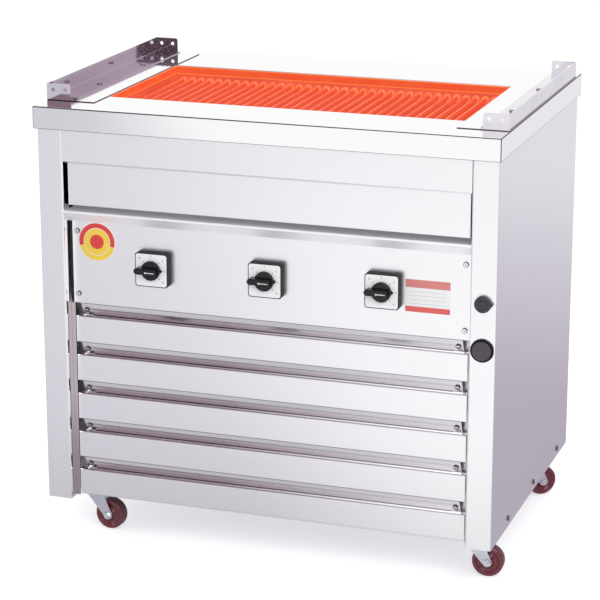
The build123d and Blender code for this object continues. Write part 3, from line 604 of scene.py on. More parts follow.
galvanisedLook = {
    "light": (0.66, 0.67, 0.69),
    "dark": (0.46, 0.47, 0.50),
    "spangle": 160.0,
    "rough": (0.32, 0.55),
    "bump": 0.06,
    "bumpDepth": 0.0004,
}
bracketLook = dict(galvanisedLook, light=(0.86, 0.86, 0.88), dark=(0.78, 0.78, 0.81))
forkLook = dict(galvanisedLook, light=(0.86, 0.88, 0.93), dark=(0.72, 0.74, 0.80), spangle=420.0)


def galvanisedSteel(name, look):
    # zinc crystals of uneven tone
    material, tree, sockets = startMaterial(name, Metallic=1.0)
    crystals = addNode(tree, "TexVoronoi", feature="F1")
    feed(crystals.inputs["Vector"], objectPlace(tree))
    feed(crystals.inputs["Scale"], look["spangle"])
    tone, shine, relief = wired(tree, "SeparateColor", crystals.outputs["Color"])
    coat(sockets, look, blendColour(tone, look["dark"], look["light"]), ramp(shine, *look["rough"]), relief)
    return material


galvanised = galvanisedSteel("galvanised", galvanisedLook)
bracketSteel = galvanisedSteel("bracketSteel", bracketLook)
zincFork = galvanisedSteel("zincFork", forkLook)


fireBoxLook = {
    "tones": ((0.07, 0.035, 0.03), (0.14, 0.07, 0.05)),
    "rough": (0.45, 0.70),
    "bump": 0.08,
    "bumpDepth": 0.0006,
    "ember": (0.77, 0.073, 0.026),
    "brighterGlow": (1.0, 0.20, 0.06),
    "hotShare": 0.14,
    "far": (0.50, 0.040, 0.014),
    "wall": 0.0012,  # the glow stays on the inner side of walls this thick
    "strength": 1.0,
}


def fireBoxSteel(name, look):
    # stained brown by heat, and lit red by the rods on the inside
    material, tree, sockets = startMaterial(name, Metallic=0.3)
    stain = spread(noise(objectPlace(tree), 24.0, detail=6.0, roughness=0.65, distortion=1.0), 0.3, 0.7)
    patchyCoat(sockets, look, stain)
    ember = useGroup(tree, emberGlow, Level=0.892, Reach=0.16, Patches=11.0)
    warm = blendColour(times(ember["Patch"], look["hotShare"]), look["ember"], look["brighterGlow"])
    low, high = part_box("fire_box")
    wall, place = look["wall"], placeParts(tree)
    inside = times(over(place["Y"], low[1] + wall), under(place["Y"], high[1] - wall))
    inside = times(inside, under(magnitude(place["X"]), high[0] - wall))
    glow(sockets, inside, blendColour(ember["Glow"], look["far"], warm), look["strength"])
    return material


fireBoxWalls = fireBoxSteel("fireBoxWalls", fireBoxLook)


heaterLook = {
    "tones": ((0.10, 0.025, 0.015), (0.06, 0.018, 0.014)),  # bare sheath, oxide
    "rough": (0.42, 0.70),
    "bump": 0.12,
    "bumpDepth": 0.0004,
    "streaks": (46.0, 7.0, 46.0),
    "streakShare": (0.3, 0.95),
    "crown": (0.955, 0.999),
    "brighterGlow": (1.0, 0.30, 0.085),
    "deep": (0.76, 0.070, 0.024),
    "strength": 1.0,
}


def heaterSheath(name, look):
    # red hot, with a painted highlight along the crown of each rod, and uneven oxide
    material, tree, sockets = startMaterial(name, Metallic=0.2, Emission_Strength=look["strength"])
    place = objectPlace(tree)
    oxide = spread(noise(place, 75.0, detail=5.0, roughness=0.7), 0.35, 0.7)
    patchyCoat(sockets, look, oxide)
    drawn = vectorMath("MULTIPLY", place, look["streaks"])[0]
    streak = spread(noise(drawn, 1.0, detail=2.0), 0.35, 0.68)
    # painted highlight: a lighter streak along the top of each rod
    crown = spread(normalParts(tree)["Z"], *look["crown"], soft=True)
    brighterGlow = times(crown, ramp(streak, *look["streakShare"]))
    feed(sockets["Emission Color"], blendColour(brighterGlow, look["deep"], look["brighterGlow"]))
    return material


glowingRod = heaterSheath("glowingRod", heaterLook)


ceramicLook = {
    "tones": ((0.42, 0.20, 0.13), (0.24, 0.09, 0.06)),  # glaze, scorch
    "rough": (0.18, 0.5),
    "bump": 0.05,
    "bumpDepth": 0.0003,
    "brighterGlow": (0.92, 0.19, 0.06),
    "cool": (0.66, 0.07, 0.025),
    "strength": 0.9,
}


def bushCeramic(name, look):
    # glazed, scorched round the rod, and lit by it
    material, tree, sockets = startMaterial(name, Emission_Strength=look["strength"])
    scorch = spread(noise(objectPlace(tree), 130.0, detail=4.0), 0.4, 0.7)
    patchyCoat(sockets, look, scorch)
    ember = useGroup(tree, emberGlow, Level=0.892, Reach=0.03, Patches=60.0)
    feed(sockets["Emission Color"], blendColour(ember["Patch"], look["cool"], look["brighterGlow"]))
    return material


bushCeramicFinish = bushCeramic("bushCeramic", ceramicLook)


brassLook = {
    "cleanAndUnshaded": (0.80, 0.62, 0.27),
    "tarnish": (0.38, 0.25, 0.11),
    "rough": (0.25, 0.45),
    "bump": 0.06,
    "bumpDepth": 0.0003,
}


def brassStrap(name, look):
    material, tree, sockets = startMaterial(name, Metallic=1.0)
    grain = useGroup(tree, brushedGrain, Stretch=(30.0, 900.0, 900.0), Cloud_Scale=45.0)
    colour = blendColour(grain["Cloud"], look["cleanAndUnshaded"], look["tarnish"])
    coat(sockets, look, colour, ramp(grain["Strands"], *look["rough"]), grain["Strands"])
    return material


linkBrass = brassStrap("linkBrass", brassLook)


# moulded pieces share the spark-eroded grain; each has its own tone and shine
def moulded(name, look, changes, **fixed):
    look = dict(look, **changes)
    material, tree, sockets = startMaterial(name, **fixed)
    grain = useGroup(tree, mouldGrain, Scale=look["grain"])
    colour = blendColour(times(grain["Wear"], look["wearShare"]), look["base"], look["worn"])
    rough = plus(ramp(grain["Grain"], *look["rough"]), times(grain["Wear"], look["wearRough"]))
    coat(sockets, look, colour, rough, grain["Grain"])
    return material


bezelLook = {
    "base": (0.008, 0.006, 0.009),
    "worn": (0.035, 0.030, 0.037),
    "wearShare": 0.4,
    "wearRough": 0.08,
    "rough": (0.42, 0.58),
    "grain": 1100.0,
    "bump": 0.18,
    "bumpDepth": 0.0003,
}
knobChanges = {"base": (0.007, 0.005, 0.008), "rough": (0.16, 0.26), "bump": 0.05, "wearShare": 0.2}
selectorChanges = {
    "base": (0.030, 0.024, 0.032),
    "worn": (0.10, 0.085, 0.105),
    "rough": (0.22, 0.34),
    "bump": 0.06,
    "wearShare": 0.6,
}
terminalChanges = {
    "base": (0.74, 0.68, 0.55),
    "worn": (0.55, 0.48, 0.36),
    "rough": (0.35, 0.5),
    "bump": 0.1,
}
legendChanges = {
    "base": (0.95, 0.95, 0.95),
    "worn": (0.86, 0.855, 0.855),
    "rough": (0.20, 0.32),
    "bump": 0.03,
    "wearShare": 0.35,
}
recessShadeChanges = {"base": (0.05, 0.046, 0.052), "rough": (0.35, 0.5), "bump": 0.05}
inkChanges = {"base": (0.018, 0.016, 0.020), "rough": (0.4, 0.55), "bump": 0.05}
lineWhiteChanges = {"base": (0.82, 0.82, 0.83), "worn": (0.6, 0.6, 0.6), "rough": (0.25, 0.4), "bump": 0.05}
bezelBlack = moulded("bezelBlack", bezelLook, {}, Specular_IOR_Level=0.2)
knobBlack = moulded(
    "knobBlack", bezelLook, knobChanges, Specular_IOR_Level=0.3, Coat_Weight=0.12, Coat_Roughness=0.12
)
selectorGrey = moulded("selectorGrey", bezelLook, selectorChanges)
terminalIvory = moulded("terminalIvory", bezelLook, terminalChanges)
legendWhite = moulded("legendWhite", bezelLook, legendChanges)
# painted shade: the dark tone of the screws' cross recesses
recessShade = moulded("recessShade", bezelLook, recessShadeChanges)
markInk = moulded("markInk", bezelLook, inkChanges)
lineWhite = moulded("lineWhite", bezelLook, lineWhiteChanges)


buttonLook = {
    "base": (0.060, 0.046, 0.064),
    "raised": (0.105, 0.082, 0.110),
    "wearShare": 0.3,
    "hatch": 1240.0,
    "rough": (0.32, 0.5),
    "bump": 0.25,
    "bumpDepth": 0.0003,
}


def hatchedButton(name, look):
    # fine slanted hatching moulded into the button's face
    material, tree, sockets = startMaterial(name)
    place = placeParts(tree)
    ways = plus(place["X"], place["Z"]), minus(place["X"], place["Z"])
    hatch = times(*(spread(compute("SINE", times(way, look["hatch"])), -0.4, 0.8) for way in ways))
    grain = useGroup(tree, mouldGrain, Scale=1000.0)
    colour = blendColour(hatch, look["base"], look["raised"])
    colour = blendColour(times(grain["Wear"], look["wearShare"]), colour, look["raised"])
    coat(sockets, look, colour, ramp(grain["Grain"], *look["rough"]), hatch)
    return material


buttonFace = hatchedButton("buttonFace", buttonLook)


sleeveLook = {
    "thread": (0.045, 0.043, 0.042),
    "gap": (0.008, 0.008, 0.008),
    "braid": 420.0,
    "slant": 1.3,
    "rough": (0.6, 0.85),
    "bump": 0.4,
    "bumpDepth": 0.0005,
}


def wovenSleeve(name, look):
    # braided sleeve over the wires
    material, tree, sockets = startMaterial(name)
    place = placeParts(tree)
    run, slant = plus(place["Y"], place["Z"]), times(place["X"], look["slant"])
    ways = plus(run, slant), minus(run, slant)
    braid = largest(*(magnitude(compute("SINE", times(way, look["braid"]))) for way in ways))
    grain = useGroup(tree, mouldGrain, Scale=700.0)
    colour = blendColour(braid, look["gap"], look["thread"])
    coat(sockets, look, colour, ramp(grain["Grain"], *look["rough"]), braid)
    return material


loomSleeve = wovenSleeve("loomSleeve", sleeveLook)


wheelLook = {
    "resin": (0.205, 0.020, 0.036),
    "deep": (0.100, 0.009, 0.020),
    "ringShare": 0.55,
    "tread": (0.135, 0.020, 0.032),
    "dust": (0.26, 0.19, 0.20),
    "dustShare": (0.12, 0.5),  # on the sides, on the tread
    "hubSpan": (0.0135, 0.0115),
    "treadSpan": (0.0305, 0.0320),
    "rough": (0.16, 0.6),
    "coat": (0.7, 0.1),
    "bump": 0.15,
    "bumpDepth": 0.0004,
}


def wheelResin(name, look, centre, axle):
    # glossy maroon resin: moulded rings on the sides, scuffed and dusty on the tread
    material, tree, sockets = startMaterial(name, Coat_Roughness=0.08)
    turned = useGroup(tree, turnedRings, Centre=centre, Axle=axle, Pitch=0.0031)
    tread, hub = (spread(turned["Radius"], *look[key]) for key in ("treadSpan", "hubSpan"))
    grit = spread(noise(objectPlace(tree), 260.0, detail=5.0, roughness=0.7), 0.42, 0.72)
    colour = blendColour(times(turned["Rings"], look["ringShare"]), look["resin"], look["deep"])
    colour = blendColour(hub, colour, look["deep"])
    colour = blendColour(tread, colour, look["tread"])
    dirtAndShade = times(grit, ramp(tread, *look["dustShare"]))
    rough = ramp(largest(dirtAndShade, times(tread, 0.5)), *look["rough"])
    coat(sockets, look, blendColour(dirtAndShade, colour, look["dust"]), rough, turned["Rings"])
    feed(sockets["Coat Weight"], ramp(tread, *look["coat"]))
    return material


foilLook = {"wornShare": 0.35, "rough": (0.22, 0.42), "bump": 0.03, "bumpDepth": 0.0002}
badgeTones = {"white": (0.93, 0.93, 0.92), "red": (0.78, 0.035, 0.030), "yellow": (0.97, 0.68, 0.05)}
plateTones = {
    "white": (0.95, 0.95, 0.945),
    "rose": (0.74, 0.22, 0.20),
    "orange": (0.80, 0.10, 0.085),
    "grey": (0.55, 0.54, 0.56),
}


def printedFoil(name, look, tone):
    # screen-printed foil under a clear film: slight unevenness of ink, faint scuffs
    material, tree, sockets = startMaterial(name, Coat_Weight=0.5, Coat_Roughness=0.1)
    ink = spread(noise(objectPlace(tree), 420.0, detail=4.0, roughness=0.7), 0.3, 0.75)
    scuffs = useGroup(tree, handlingMarks, Scale=70.0, Cover=0.4)["Marks"]
    worn = tuple(min(1.0, channel * 0.82 + 0.05) for channel in tone)
    colour = blendColour(times(ink, look["wornShare"]), tone, worn)
    coat(sockets, look, colour, ramp(scuffs, *look["rough"]), ink)
    return material


def foilSet(prefix, tones):
    return [printedFoil(f"{prefix}{key.capitalize()}", foilLook, tone) for key, tone in tones.items()]


badgeFinishes = foilSet("badge", badgeTones)
plateFinishes = foilSet("plate", plateTones)
print("materials:", len(bpy.data.materials))


# CAD nodes take their finishes
switchRows = ("left", "middle", "right")
casters = ("front_left", "front_right", "rear_left", "rear_right")
finishOf = {
    frontSheet: ["front_fascia", "control_panel", "drawer_front"]
    + [f"louvre_blade_{row}" for row in range(1, 6)],
    awningSheet: ["drip_awning"],
    shellSheet: ["left_side_shell", "right_side_shell", "rear_panel"],
    deckSheet: ["top_deck"],
    platesSheet: ["left_side_plate", "right_side_plate"],
    traySheet: ["drip_tray"],
    baseSheet: ["base_pan"],
    polishedRail: ["left_rail", "right_rail"],
    bracketSteel: ["left_louvre_bracket", "right_louvre_bracket"],
    galvanised: ["left_drawer_runner", "right_drawer_runner", "drawer_shelf", "terminal_cover"],
    fireBoxWalls: ["fire_box", "heater_rest_bar"],
    glowingRod: ["left_heater_bank", "middle_heater_bank", "right_heater_bank"],
    bushCeramicFinish: ["heater_bushes"],
    linkBrass: ["heater_links"],
    bezelBlack: ["selector_body", "button_housing", "cable_gland"]
    + [f"{row}_switch_body" for row in switchRows],
    knobBlack: [f"{row}_switch_knob" for row in switchRows],
    selectorGrey: ["selector_knob"],
    buttonFace: ["push_button"],
    legendWhite: ["legend_plates"],
    terminalIvory: ["terminal_block"],
    loomSleeve: ["wiring_looms"],
    frontScrew: ["front_screws"],
    cabinetScrew: ["cabinet_screws"],
    railScrew: ["rail_screws"],
    brightSteel: ["caster_bolts", "button_spring"],
    zincFork: ["caster_plates"] + [f"{caster}_fork" for caster in casters],
}


for material, names in finishOf.items():
    for name in names:
        mesh = nodes[name].data
        mesh.materials.clear()
        mesh.materials.append(material)
print("CAD nodes painted")


# mesh helpers: a spot is a place with its own right, up and outward directions
rearward, upright = Vector((0.0, 1.0, 0.0)), Vector((0.0, 0.0, 1.0))


def spotAt(origin, right=(1.0, 0.0, 0.0), up=(0.0, 0.0, 1.0)):
    right, up = Vector(right), Vector(up)
    return Vector(origin), right, up, right.cross(up)


def onSpot(spot, u, v, out):
    origin, right, up, outward = spot
    return origin + right * u + up * v + outward * out


def loft(mesh, rings, finish=0, closed=False):
    # skins a row of equal rings, and caps both ends unless it closes on itself
    rows = [[mesh.verts.new(point) for point in ring] for ring in rings]
    count = len(rows[0])
    pairs = list(zip(rows, rows[1:]))
    if closed:
        pairs.append((rows[-1], rows[0]))
    made = []
    for lower, upper in pairs:
        for i in range(count):
            j = (i + 1) % count
            made.append(mesh.faces.new((lower[i], lower[j], upper[j], upper[i])))
    if not closed:
        made.append(mesh.faces.new(rows[0][::-1]))
        made.append(mesh.faces.new(rows[-1]))
    for face in made:
        face.material_index = finish
    return made


def raised(mesh, spot, outline, levels, finish=0):
    # an outline stepped outwards through levels of (inset, height)
    rings = [[onSpot(spot, u, v, height) for u, v in outline(inset)] for inset, height in levels]
    return loft(mesh, rings, finish)


def straight(low, high):
    return [(0.0, low), (0.0, high)]


def bevelled(low, high, edge):
    return [(0.0, low), (0.0, high - edge), (edge, high)]


def fullTurn(count):
    return [math.tau * i / count for i in range(count)]


def arcPoints(middle, radius, start, end, steps):
    angles = [math.radians(start + (end - start) * i / steps) for i in range(steps + 1)]
    return [(middle + radius * math.cos(a), radius * math.sin(a)) for a in angles]


def roundOutline(radius, count, turn=0.0):
    def outline(inset):
        reach = radius - inset
        return [(reach * math.cos(turn + a), reach * math.sin(turn + a)) for a in fullTurn(count)]
    return outline


def boxOutline(width, height, corner, steps=5):
    def outline(inset):
        points = []
        inner = max(corner - inset, 0.00005)
        for quarter in range(4):
            sideways = 1 if quarter in (0, 3) else -1
            upwards = 1 if quarter in (0, 1) else -1
            middle = (sideways * (width / 2 - corner), upwards * (height / 2 - corner))
            for i in range(steps + 1):
                angle = math.pi / 2 * (quarter + i / steps)
                points.append((middle[0] + inner * math.cos(angle), middle[1] + inner * math.sin(angle)))
        return points
    return outline


def moved(outline, u, v):
    return lambda inset: [(a + u, b + v) for a, b in outline(inset)]


def addPiece(name, mesh, finishes, body, smooth=False):
    bmesh.ops.recalc_face_normals(mesh, faces=mesh.faces)
    for face in mesh.faces:
        face.smooth = smooth
    data = bpy.data.meshes.new(name)
    mesh.to_mesh(data)
    mesh.free()
    for finish in finishes:
        data.materials.append(finish)
    piece = stand(name, data)
    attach(piece, body)
    return piece


millimetre = 0.001

# casters: turned wheels and hexagon nuts, placed by the joints they turn on
wheelForm = {
    # half of the section, as (distance from the middle, radius) in millimetres
    "section": [
        (15.0, 4.1), (15.0, 5.2), (14.9, 9.6), (14.5, 10.6), (13.4, 11.2), (11.6, 12.6), (10.0, 14.4),
        (9.1, 16.2), (8.9, 17.6), (9.5, 18.2), (9.8, 18.8), (9.5, 19.4), (8.9, 20.0), (9.2, 21.4),
        (10.4, 23.0), (11.8, 24.0), (12.6, 24.5), (12.95, 25.2), (13.0, 26.4), (12.9, 28.2), (12.4, 29.9),
        (11.4, 31.2), (9.9, 32.1), (8.2, 32.45), (5.0, 32.5), (1.6, 32.5),
    ],
    "segments": 72,
}
nutForm = {
    "start": 18.5,
    "length": 5.2,
    "corner": 8.2,
    "chamfer": 0.8,
    "turn": 11.0,  # degrees
    "threadRadius": 3.6,
    "threadProud": 0.7,
}
jointOf = {joint["child"]: joint for joint in frame["joints"]}


def axleOf(caster):
    # the middle of a wheel and the direction of its axle
    joint = jointOf[f"{caster}_roller"]
    return Vector(joint["pos_m"]), Vector(joint["axis"]).normalized()


def turnWheel(caster, form):
    centre, axle = axleOf(caster)
    across = axle.cross(upright)
    section = form["section"] + [(-out, radius) for out, radius in form["section"][::-1]]
    spokes = [upright * math.cos(a) + across * math.sin(a) for a in fullTurn(form["segments"])]
    rings = [
        [centre + (axle * out + spoke * radius) * millimetre for spoke in spokes] for out, radius in section
    ]
    mesh = bmesh.new()
    loft(mesh, rings, closed=True)
    finish = wheelResin(f"wheelResin.{caster}", wheelLook, tuple(centre), tuple(axle))
    name, body = f"turnedWheel.{caster}", f"{caster}_roller"
    wheel = addPiece(name, mesh, [finish], body, smooth=True)
    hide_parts(f"{caster}_wheel")


def fitNuts(caster, form):
    centre, axle = axleOf(caster)
    mesh = bmesh.new()
    for side in (-1, 1):
        outward = axle * side
        right = upright.cross(outward)
        spot = spotAt(centre + outward * form["start"] * millimetre, right)
        flats = roundOutline(form["corner"] * millimetre, 6, math.radians(form["turn"]))
        edge, end = form["chamfer"] * millimetre, form["length"] * millimetre
        raised(mesh, spot, flats, [(edge, 0.0), (0.0, edge), (0.0, end - edge), (edge, end)])
        thread = roundOutline(form["threadRadius"] * millimetre, 20)
        tip = end + form["threadProud"] * millimetre
        raised(mesh, spot, thread, bevelled(edge, tip, edge / 2))
    addPiece(f"axleNuts.{caster}", mesh, [brightSteel], f"{caster}_swivel")


for caster in casters:
    turnWheel(caster, wheelForm)
    fitNuts(caster, nutForm)
print("casters dressed")


# switches: dial marks on the legend plates, and a white line on each knob
dialForm = {
    "plateFront": -0.330,
    "thickness": 0.0001,
    "digitSize": 0.0062,
    # digit, place from the knob's middle, and the dot that belongs to it
    "marks": [
        ("0", (-0.0245, 0.0235), (-0.0168, 0.0168)),
        ("1", (0.0, 0.0285), None),
        ("2", (0.0250, 0.0215), (0.0168, 0.0168)),
        ("3", (0.0287, 0.0), None),
        ("4", (0.0250, -0.0235), (0.0168, -0.0168)),
    ],
    "dotRadius": 0.0011,
}
lineForm = {"drop": 0.0016, "from": -0.0065, "to": 0.0118, "width": 0.0014, "bulb": 0.0018, "rise": 0.0003}


def digitMesh(digit, height, thickness):
    text = bpy.data.curves.new("digit", "FONT")
    text.body = digit
    text.size = height
    text.extrude = thickness / 2
    text.align_x = "CENTER"
    text.align_y = "CENTER"
    holder = bpy.data.objects.new("digit", text)
    mesh = bpy.data.meshes.new_from_object(holder)
    bpy.data.objects.remove(holder)
    bpy.data.curves.remove(text)
    return mesh


def spotMatrix(spot, u, v, out):
    turned = Matrix(spot[1:]).transposed().to_4x4()
    return Matrix.Translation(onSpot(spot, u, v, out)) @ turned


def knobAxis(row):
    # where the CAD's joint puts the knob's shaft
    return Vector(jointOf[f"{row}_knob"]["pos_m"])


def printDials(form):
    mesh = bmesh.new()
    for row in switchRows:
        axis = knobAxis(row)
        spot = spotAt((axis.x, form["plateFront"], axis.z))
        for digit, (u, v), dot in form["marks"]:
            shape = digitMesh(digit, form["digitSize"], form["thickness"])
            shape.transform(spotMatrix(spot, u, v, form["thickness"] / 2))
            mesh.from_mesh(shape)
            bpy.data.meshes.remove(shape)
            if dot:
                outline = moved(roundOutline(form["dotRadius"], 20), *dot)
                raised(mesh, spot, outline, straight(0.0, form["thickness"]))
    addPiece("dialMarks", mesh, [markInk], "cabinet")


def whiteKnobLine(row, form):
    # a thin white line with a bulb at its outer end, half sunk into the front of the grip
    axis = knobAxis(row)
    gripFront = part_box(f"{row}_switch_knob")[0][1]
    spot = spotAt((axis.x, gripFront, axis.z - form["drop"]))
    half = form["width"] / 2

    def outline(inset):
        bulb = arcPoints(form["from"], form["bulb"] - inset, 30.0, 330.0, 12)
        return bulb + arcPoints(form["to"], half - inset, -90.0, 90.0, 6)

    mesh = bmesh.new()
    rise = form["rise"]
    raised(mesh, spot, outline, bevelled(-rise, rise, rise / 2))
    addPiece(f"knobLine.{row}", mesh, [lineWhite], f"{row}_knob")


# the button's spring, drawn as a coil in the place of the CAD's spring and fixed to the cabinet
springForm = {"turns": 4, "wire": 0.0016, "travel": 0.006, "steps": 28, "sides": 12}


def coilSpring(form):
    low, high = (Vector(corner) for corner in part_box("button_spring"))
    middle = (low + high) / 2
    wire = form["wire"] / 2
    reach = (high.x - low.x) / 2 - wire
    length = high.y - low.y
    run = length - form["wire"]
    count = form["turns"] * form["steps"]
    climb = Vector((0.0, run / (math.tau * form["turns"]), 0.0))
    rings = []
    for i in range(count + 1):
        angle = math.tau * i / form["steps"]
        spoke = Vector((math.cos(angle), 0.0, math.sin(angle)))
        along = (Vector((-math.sin(angle), 0.0, math.cos(angle))) * reach + climb).normalized()
        beside = along.cross(spoke)
        at = Vector((middle.x, low.y + wire + run * i / count, middle.z)) + spoke * reach
        sides = fullTurn(form["sides"])
        rings.append([at + (spoke * math.cos(a) + beside * math.sin(a)) * wire for a in sides])
    mesh = bmesh.new()
    loft(mesh, rings)
    coil = addPiece("coilSpring", mesh, [brightSteel], "cabinet", smooth=True)
    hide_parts("button_spring")
    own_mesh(coil)


printDials(dialForm)
coilSpring(springForm)
for row in switchRows:
    whiteKnobLine(row, lineForm)
print("dials printed")


# plain roundel and bare plate on the control panel
badgeForm = {
    "at": (-0.3635, -0.311, 0.646),
    "radius": 0.0405,
    "thickness": 0.0005,
    "ring": (0.0290, 0.0388),
    "redArc": (-14.0, 194.0),  # degrees; the rest of the ring is yellow
    "field": 0.0278,
    "centre": 0.0150,
    "film": 0.00012,
}


def arcStrip(mesh, spot, radii, angles, heights, finish, steps=40):
    # a flat strip along an arc, with its own thickness
    (inner, outer), (low, high), (start, end) = radii, heights, angles
    corners = [(inner, low), (outer, low), (outer, high), (inner, high)]
    rings = []
    for i in range(steps + 1):
        angle = math.radians(start + (end - start) * i / steps)
        rings.append([onSpot(spot, r * math.cos(angle), r * math.sin(angle), out) for r, out in corners])
    loft(mesh, rings, finish)


def makeBadge(form):
    spot = spotAt(form["at"])
    mesh = bmesh.new()
    top = form["thickness"]
    edge = top / 3
    white, red, yellow = range(3)
    raised(mesh, spot, roundOutline(form["radius"], 72), bevelled(0.0, top, edge), white)
    low, high = top - edge, top + form["film"]
    start, end = form["redArc"]
    arcStrip(mesh, spot, form["ring"], (start, end), (low, high), red)
    arcStrip(mesh, spot, form["ring"], (end, start + 360.0), (low, high), yellow)
    raised(mesh, spot, roundOutline(form["field"], 60), straight(low, high), yellow)
    raised(mesh, spot, roundOutline(form["centre"], 48), straight(low, high + form["film"]), red)
    addPiece("roundBadge", mesh, badgeFinishes, "cabinet")


plateForm = {
    "at": (0.3315, -0.311, 0.5950),
    "size": (0.0915, 0.0665),
    "corner": 0.0012,
    "thickness": 0.0005,
    "film": 0.00012,
    # middle height, and height of each printed bar; the bars stop short of the plate's edge
    "bars": [(0.0245, 0.0160), (-0.0270, 0.0110)],
    "barWidth": 0.0900,
    "rules": [0.0085, 0.0005, -0.0075, -0.0155],
    "ruleWidth": 0.0760,
    "ruleHeight": 0.0006,
}


def makeRatingPlate(form):
    spot = spotAt(form["at"])
    mesh = bmesh.new()
    top = form["thickness"]
    edge = top / 3
    grey = list(plateTones).index("grey")
    body = boxOutline(*form["size"], form["corner"])
    raised(mesh, spot, body, bevelled(0.0, top, edge))
    printed = straight(top - edge, top + form["film"])
    for finish, (height, tall) in enumerate(form["bars"], start=1):
        bar = moved(boxOutline(form["barWidth"], tall, form["corner"] / 2), 0.0, height)
        raised(mesh, spot, bar, printed, finish)
    for height in form["rules"]:
        rule = moved(boxOutline(form["ruleWidth"], form["ruleHeight"], form["ruleHeight"] / 4), 0.0, height)
        raised(mesh, spot, rule, printed, grey)
    addPiece("ratingPlate", mesh, plateFinishes, "cabinet")


makeBadge(badgeForm)
makeRatingPlate(plateForm)
print("plates fixed")


# cross recesses in the screw heads, drawn as dark crosses: painted shade in place of the hollows
driveForm = {
    "arm": 0.0019,
    "half": 0.00040,
    "flare": 0.00055,
    "sunk": 0.0004,
    "proud": 0.00006,
    "turnStep": 0.83,  # no two are driven home to the same angle
}
bandSlope = Vector((0.0, -26.0, -13.5)).normalized()
panelAside = screwLook["panelAt"][0]
bandAside, bandTop, bandPitch = screwLook["bandAt"]
# the middle of each head's face, and the way that it looks
screwRows = {
    "panel": [((x, -0.314, z), -rearward) for x in (-panelAside, panelAside) for z in (0.534, 0.666)],
    "band": [
        (Vector((x, -0.3029, bandTop - row * bandPitch)) + bandSlope * 0.003, bandSlope)
        for x in (-bandAside, bandAside)
        for row in range(5)
    ],
    "side": [((x * 0.478, y, 0.113), (x, 0.0, 0.0)) for x in (-1.0, 1.0) for y in (-0.198, 0.022, 0.242)],
    "rear": [
        ((x, 0.3435, 0.098 + share * 0.778), rearward)
        for x in (-0.463, 0.463)
        for share in (0.08, 0.36, 0.64, 0.92)
    ],
    "rail": [((x, y, 0.9315), upright) for x in (-0.439, 0.439) for y in (-0.108, 0.124)],
}


def crossOutline(form, turn):
    arm, half, flare = form["arm"], form["half"], form["flare"]
    corners = [(arm, -half), (arm, half), (flare, flare)]

    def outline(inset):
        points = []
        for quarter in range(4):
            angle = turn + math.pi / 2 * quarter
            c, t = math.cos(angle), math.sin(angle)
            points += [(a * c - b * t, a * t + b * c) for a, b in corners]
        return points
    return outline


def darkDrives(form):
    mesh = bmesh.new()
    count = 0
    for row in screwRows.values():
        for at, outward in row:
            outward = Vector(outward)
            helper = rearward if abs(outward.z) > 0.9 else upright
            right = helper.cross(outward).normalized()
            spot = spotAt(at, right, outward.cross(right))
            turn = count * form["turnStep"]
            raised(mesh, spot, crossOutline(form, turn), straight(-form["sunk"], form["proud"]))
            count += 1
    addPiece("screwDrives", mesh, [recessShade], "cabinet")


darkDrives(driveForm)
print("screws cut")


# floor, light and surroundings
studio = {
    "floorSize": 60.0,
    "floorTone": (0.86, 0.86, 0.87),
    "ambient": 0.55,
    "ambientTone": (0.95, 0.96, 1.0),
    "floorGlow": 0.55,  # what the camera sees of the floor, besides the light that falls on it
    # the floor as bare metal mirrors it: grey at the left in front, dim close behind
    "frontGrey": (0.71, 0.695, 0.75),
    "frontPale": (1.12, 1.12, 1.12),
    "frontSpan": (0.18, 0.66),
    "frontSlant": -0.54,
    "footShade": (-0.40, -1.20, 0.74, 1.0),  # from the object's foot outwards
    "farShade": (-3.30, -3.45, 1.0, 0.95),
    "backDim": (0.445, 0.39, 0.47),
    "backPale": (0.88, 0.87, 0.92),
    "backSpan": (0.9, 3.3),
    "behindFloor": (-0.45, -0.12),
    "tonedShare": 0.85,
    # the room as bare metal mirrors it: a pale window in front, a pale wall behind at the left
    "frontDim": (0.26, 0.18, 0.215),
    "frontWindow": (0.96, 0.96, 0.98),
    "windowLeft": (-0.44, -0.26),  # sideways for each step forwards
    "windowRight": (0.24, 0.06),
    "roomRight": (0.51, 0.42, 0.49),
    "roomAbove": (0.46, 0.44, 0.48),
    "wallPale": (1.0, 1.0, 1.0),
    "leftward": (0.12, -0.08),
    "behindRoom": (-0.15, 0.30),
    "above": (0.82, 0.97),
}


def mixShaders(factor, first, second):
    return wired(first.id_data, "MixShader", factor, first, second)[0]


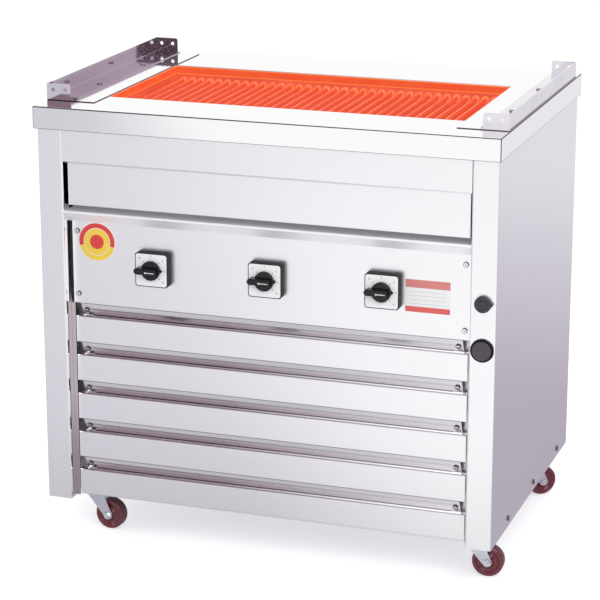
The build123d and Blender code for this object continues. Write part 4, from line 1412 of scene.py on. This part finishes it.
def makeFloor(look):
    half = look["floorSize"] / 2
    mesh = bpy.data.meshes.new("floor")
    corners = [(-half, -half, 0), (half, -half, 0), (half, half, 0), (-half, half, 0)]
    mesh.from_pydata(corners, [], [(0, 1, 2, 3)])
    floor = stand("floor", mesh)
    material = bpy.data.materials.new("studioFloor")
    material.use_nodes = True
    tree = material.node_tree
    tree.nodes.clear()
    output = addNode(tree, "OutputMaterial")
    path = addNode(tree, "LightPath").outputs
    place = placeParts(tree)
    slanted = plus(place["X"], times(place["Y"], look["frontSlant"]))
    front = blendColour(spread(slanted, *look["frontSpan"]), look["frontGrey"], look["frontPale"])
    for shade in (look["footShade"], look["farShade"]):
        front = blendColour(spread(place["Y"], *shade), (0.0, 0.0, 0.0), front)
    back = blendColour(spread(place["Y"], *look["backSpan"]), look["backDim"], look["backPale"])
    behind = spread(place["Y"], *look["behindFloor"], soft=True)
    lit = wired(tree, "BsdfDiffuse", (*look["floorTone"], 1.0))[0]
    bright = wired(tree, "Emission", (1.0, 1.0, 1.0, 1.0), look["floorGlow"])[0]
    toned = wired(tree, "Emission", blendColour(behind, front, back))[0]
    whiteFloor = wired(tree, "AddShader", lit, bright)[0]
    metalFloor = mixShaders(look["tonedShare"], lit, toned)
    plainFloor = mixShaders(path["Is Camera Ray"], lit, whiteFloor)
    mirrored = largest(path["Is Glossy Ray"], path["Is Transmission Ray"])
    feed(output.inputs["Surface"], mixShaders(mirrored, plainFloor, metalFloor))
    mesh.materials.append(material)


def makeSurroundings(look):
    world = bpy.data.worlds.new("studioWorld")
    scene.world = world
    world.use_nodes = True
    tree = world.node_tree
    tree.nodes.clear()
    output = addNode(tree, "OutputWorld")
    path = addNode(tree, "LightPath").outputs
    way = parts(addNode(tree, "TexCoord").outputs["Generated"])
    leftward = spread(way["X"], *look["leftward"], soft=True)
    behind = spread(way["Y"], *look["behindRoom"], soft=True)
    above = spread(way["Z"], *look["above"], soft=True)
    back = blendColour(leftward, look["roomRight"], look["wallPale"])
    sideways = compute("DIVIDE", way["X"], largest(times(way["Y"], -1.0), 0.05))
    window = times(*(spread(sideways, *look[key], soft=True) for key in ("windowLeft", "windowRight")))
    front = blendColour(window, look["frontDim"], look["frontWindow"])
    room = blendColour(above, blendColour(behind, front, back), look["roomAbove"])
    ambient = wired(tree, "Background", (*look["ambientTone"], 1.0), look["ambient"])[0]
    seenTone = blendColour(path["Is Glossy Ray"], (1.0, 1.0, 1.0), room)
    backdrop = wired(tree, "Background", seenTone)[0]
    seen = largest(*(path[f"Is {kind} Ray"] for kind in ("Camera", "Glossy", "Transmission")))
    feed(output.inputs["Surface"], mixShaders(seen, ambient, backdrop))


softboxes = {
    "keyBox": {"at": (2.2, -3.2, 2.9), "aim": (0.0, 0.0, 0.5), "size": (2.4, 2.0), "power": 70.0},
    "fillBox": {"at": (-3.4, -1.6, 1.9), "aim": (0.0, 0.0, 0.5), "size": (1.6, 2.2), "power": 24.0},
    "topBox": {"at": (0.6, 0.6, 3.6), "aim": (0.0, 0.0, 0.8), "size": (4.2, 4.2), "power": 13.0},
}


def makeSoftbox(name, look):
    lamp = bpy.data.lights.new(name, "AREA")
    lamp.shape = "RECTANGLE"
    lamp.size, lamp.size_y = look["size"]
    lamp.energy = look["power"]
    holder = stand(name, lamp)
    holder.location = look["at"]
    holder.rotation_euler = (Vector(look["aim"]) - Vector(look["at"])).to_track_quat("-Z", "Y").to_euler()


makeFloor(studio)
makeSurroundings(studio)
for name, look in softboxes.items():
    makeSoftbox(name, look)
print("studio ready")
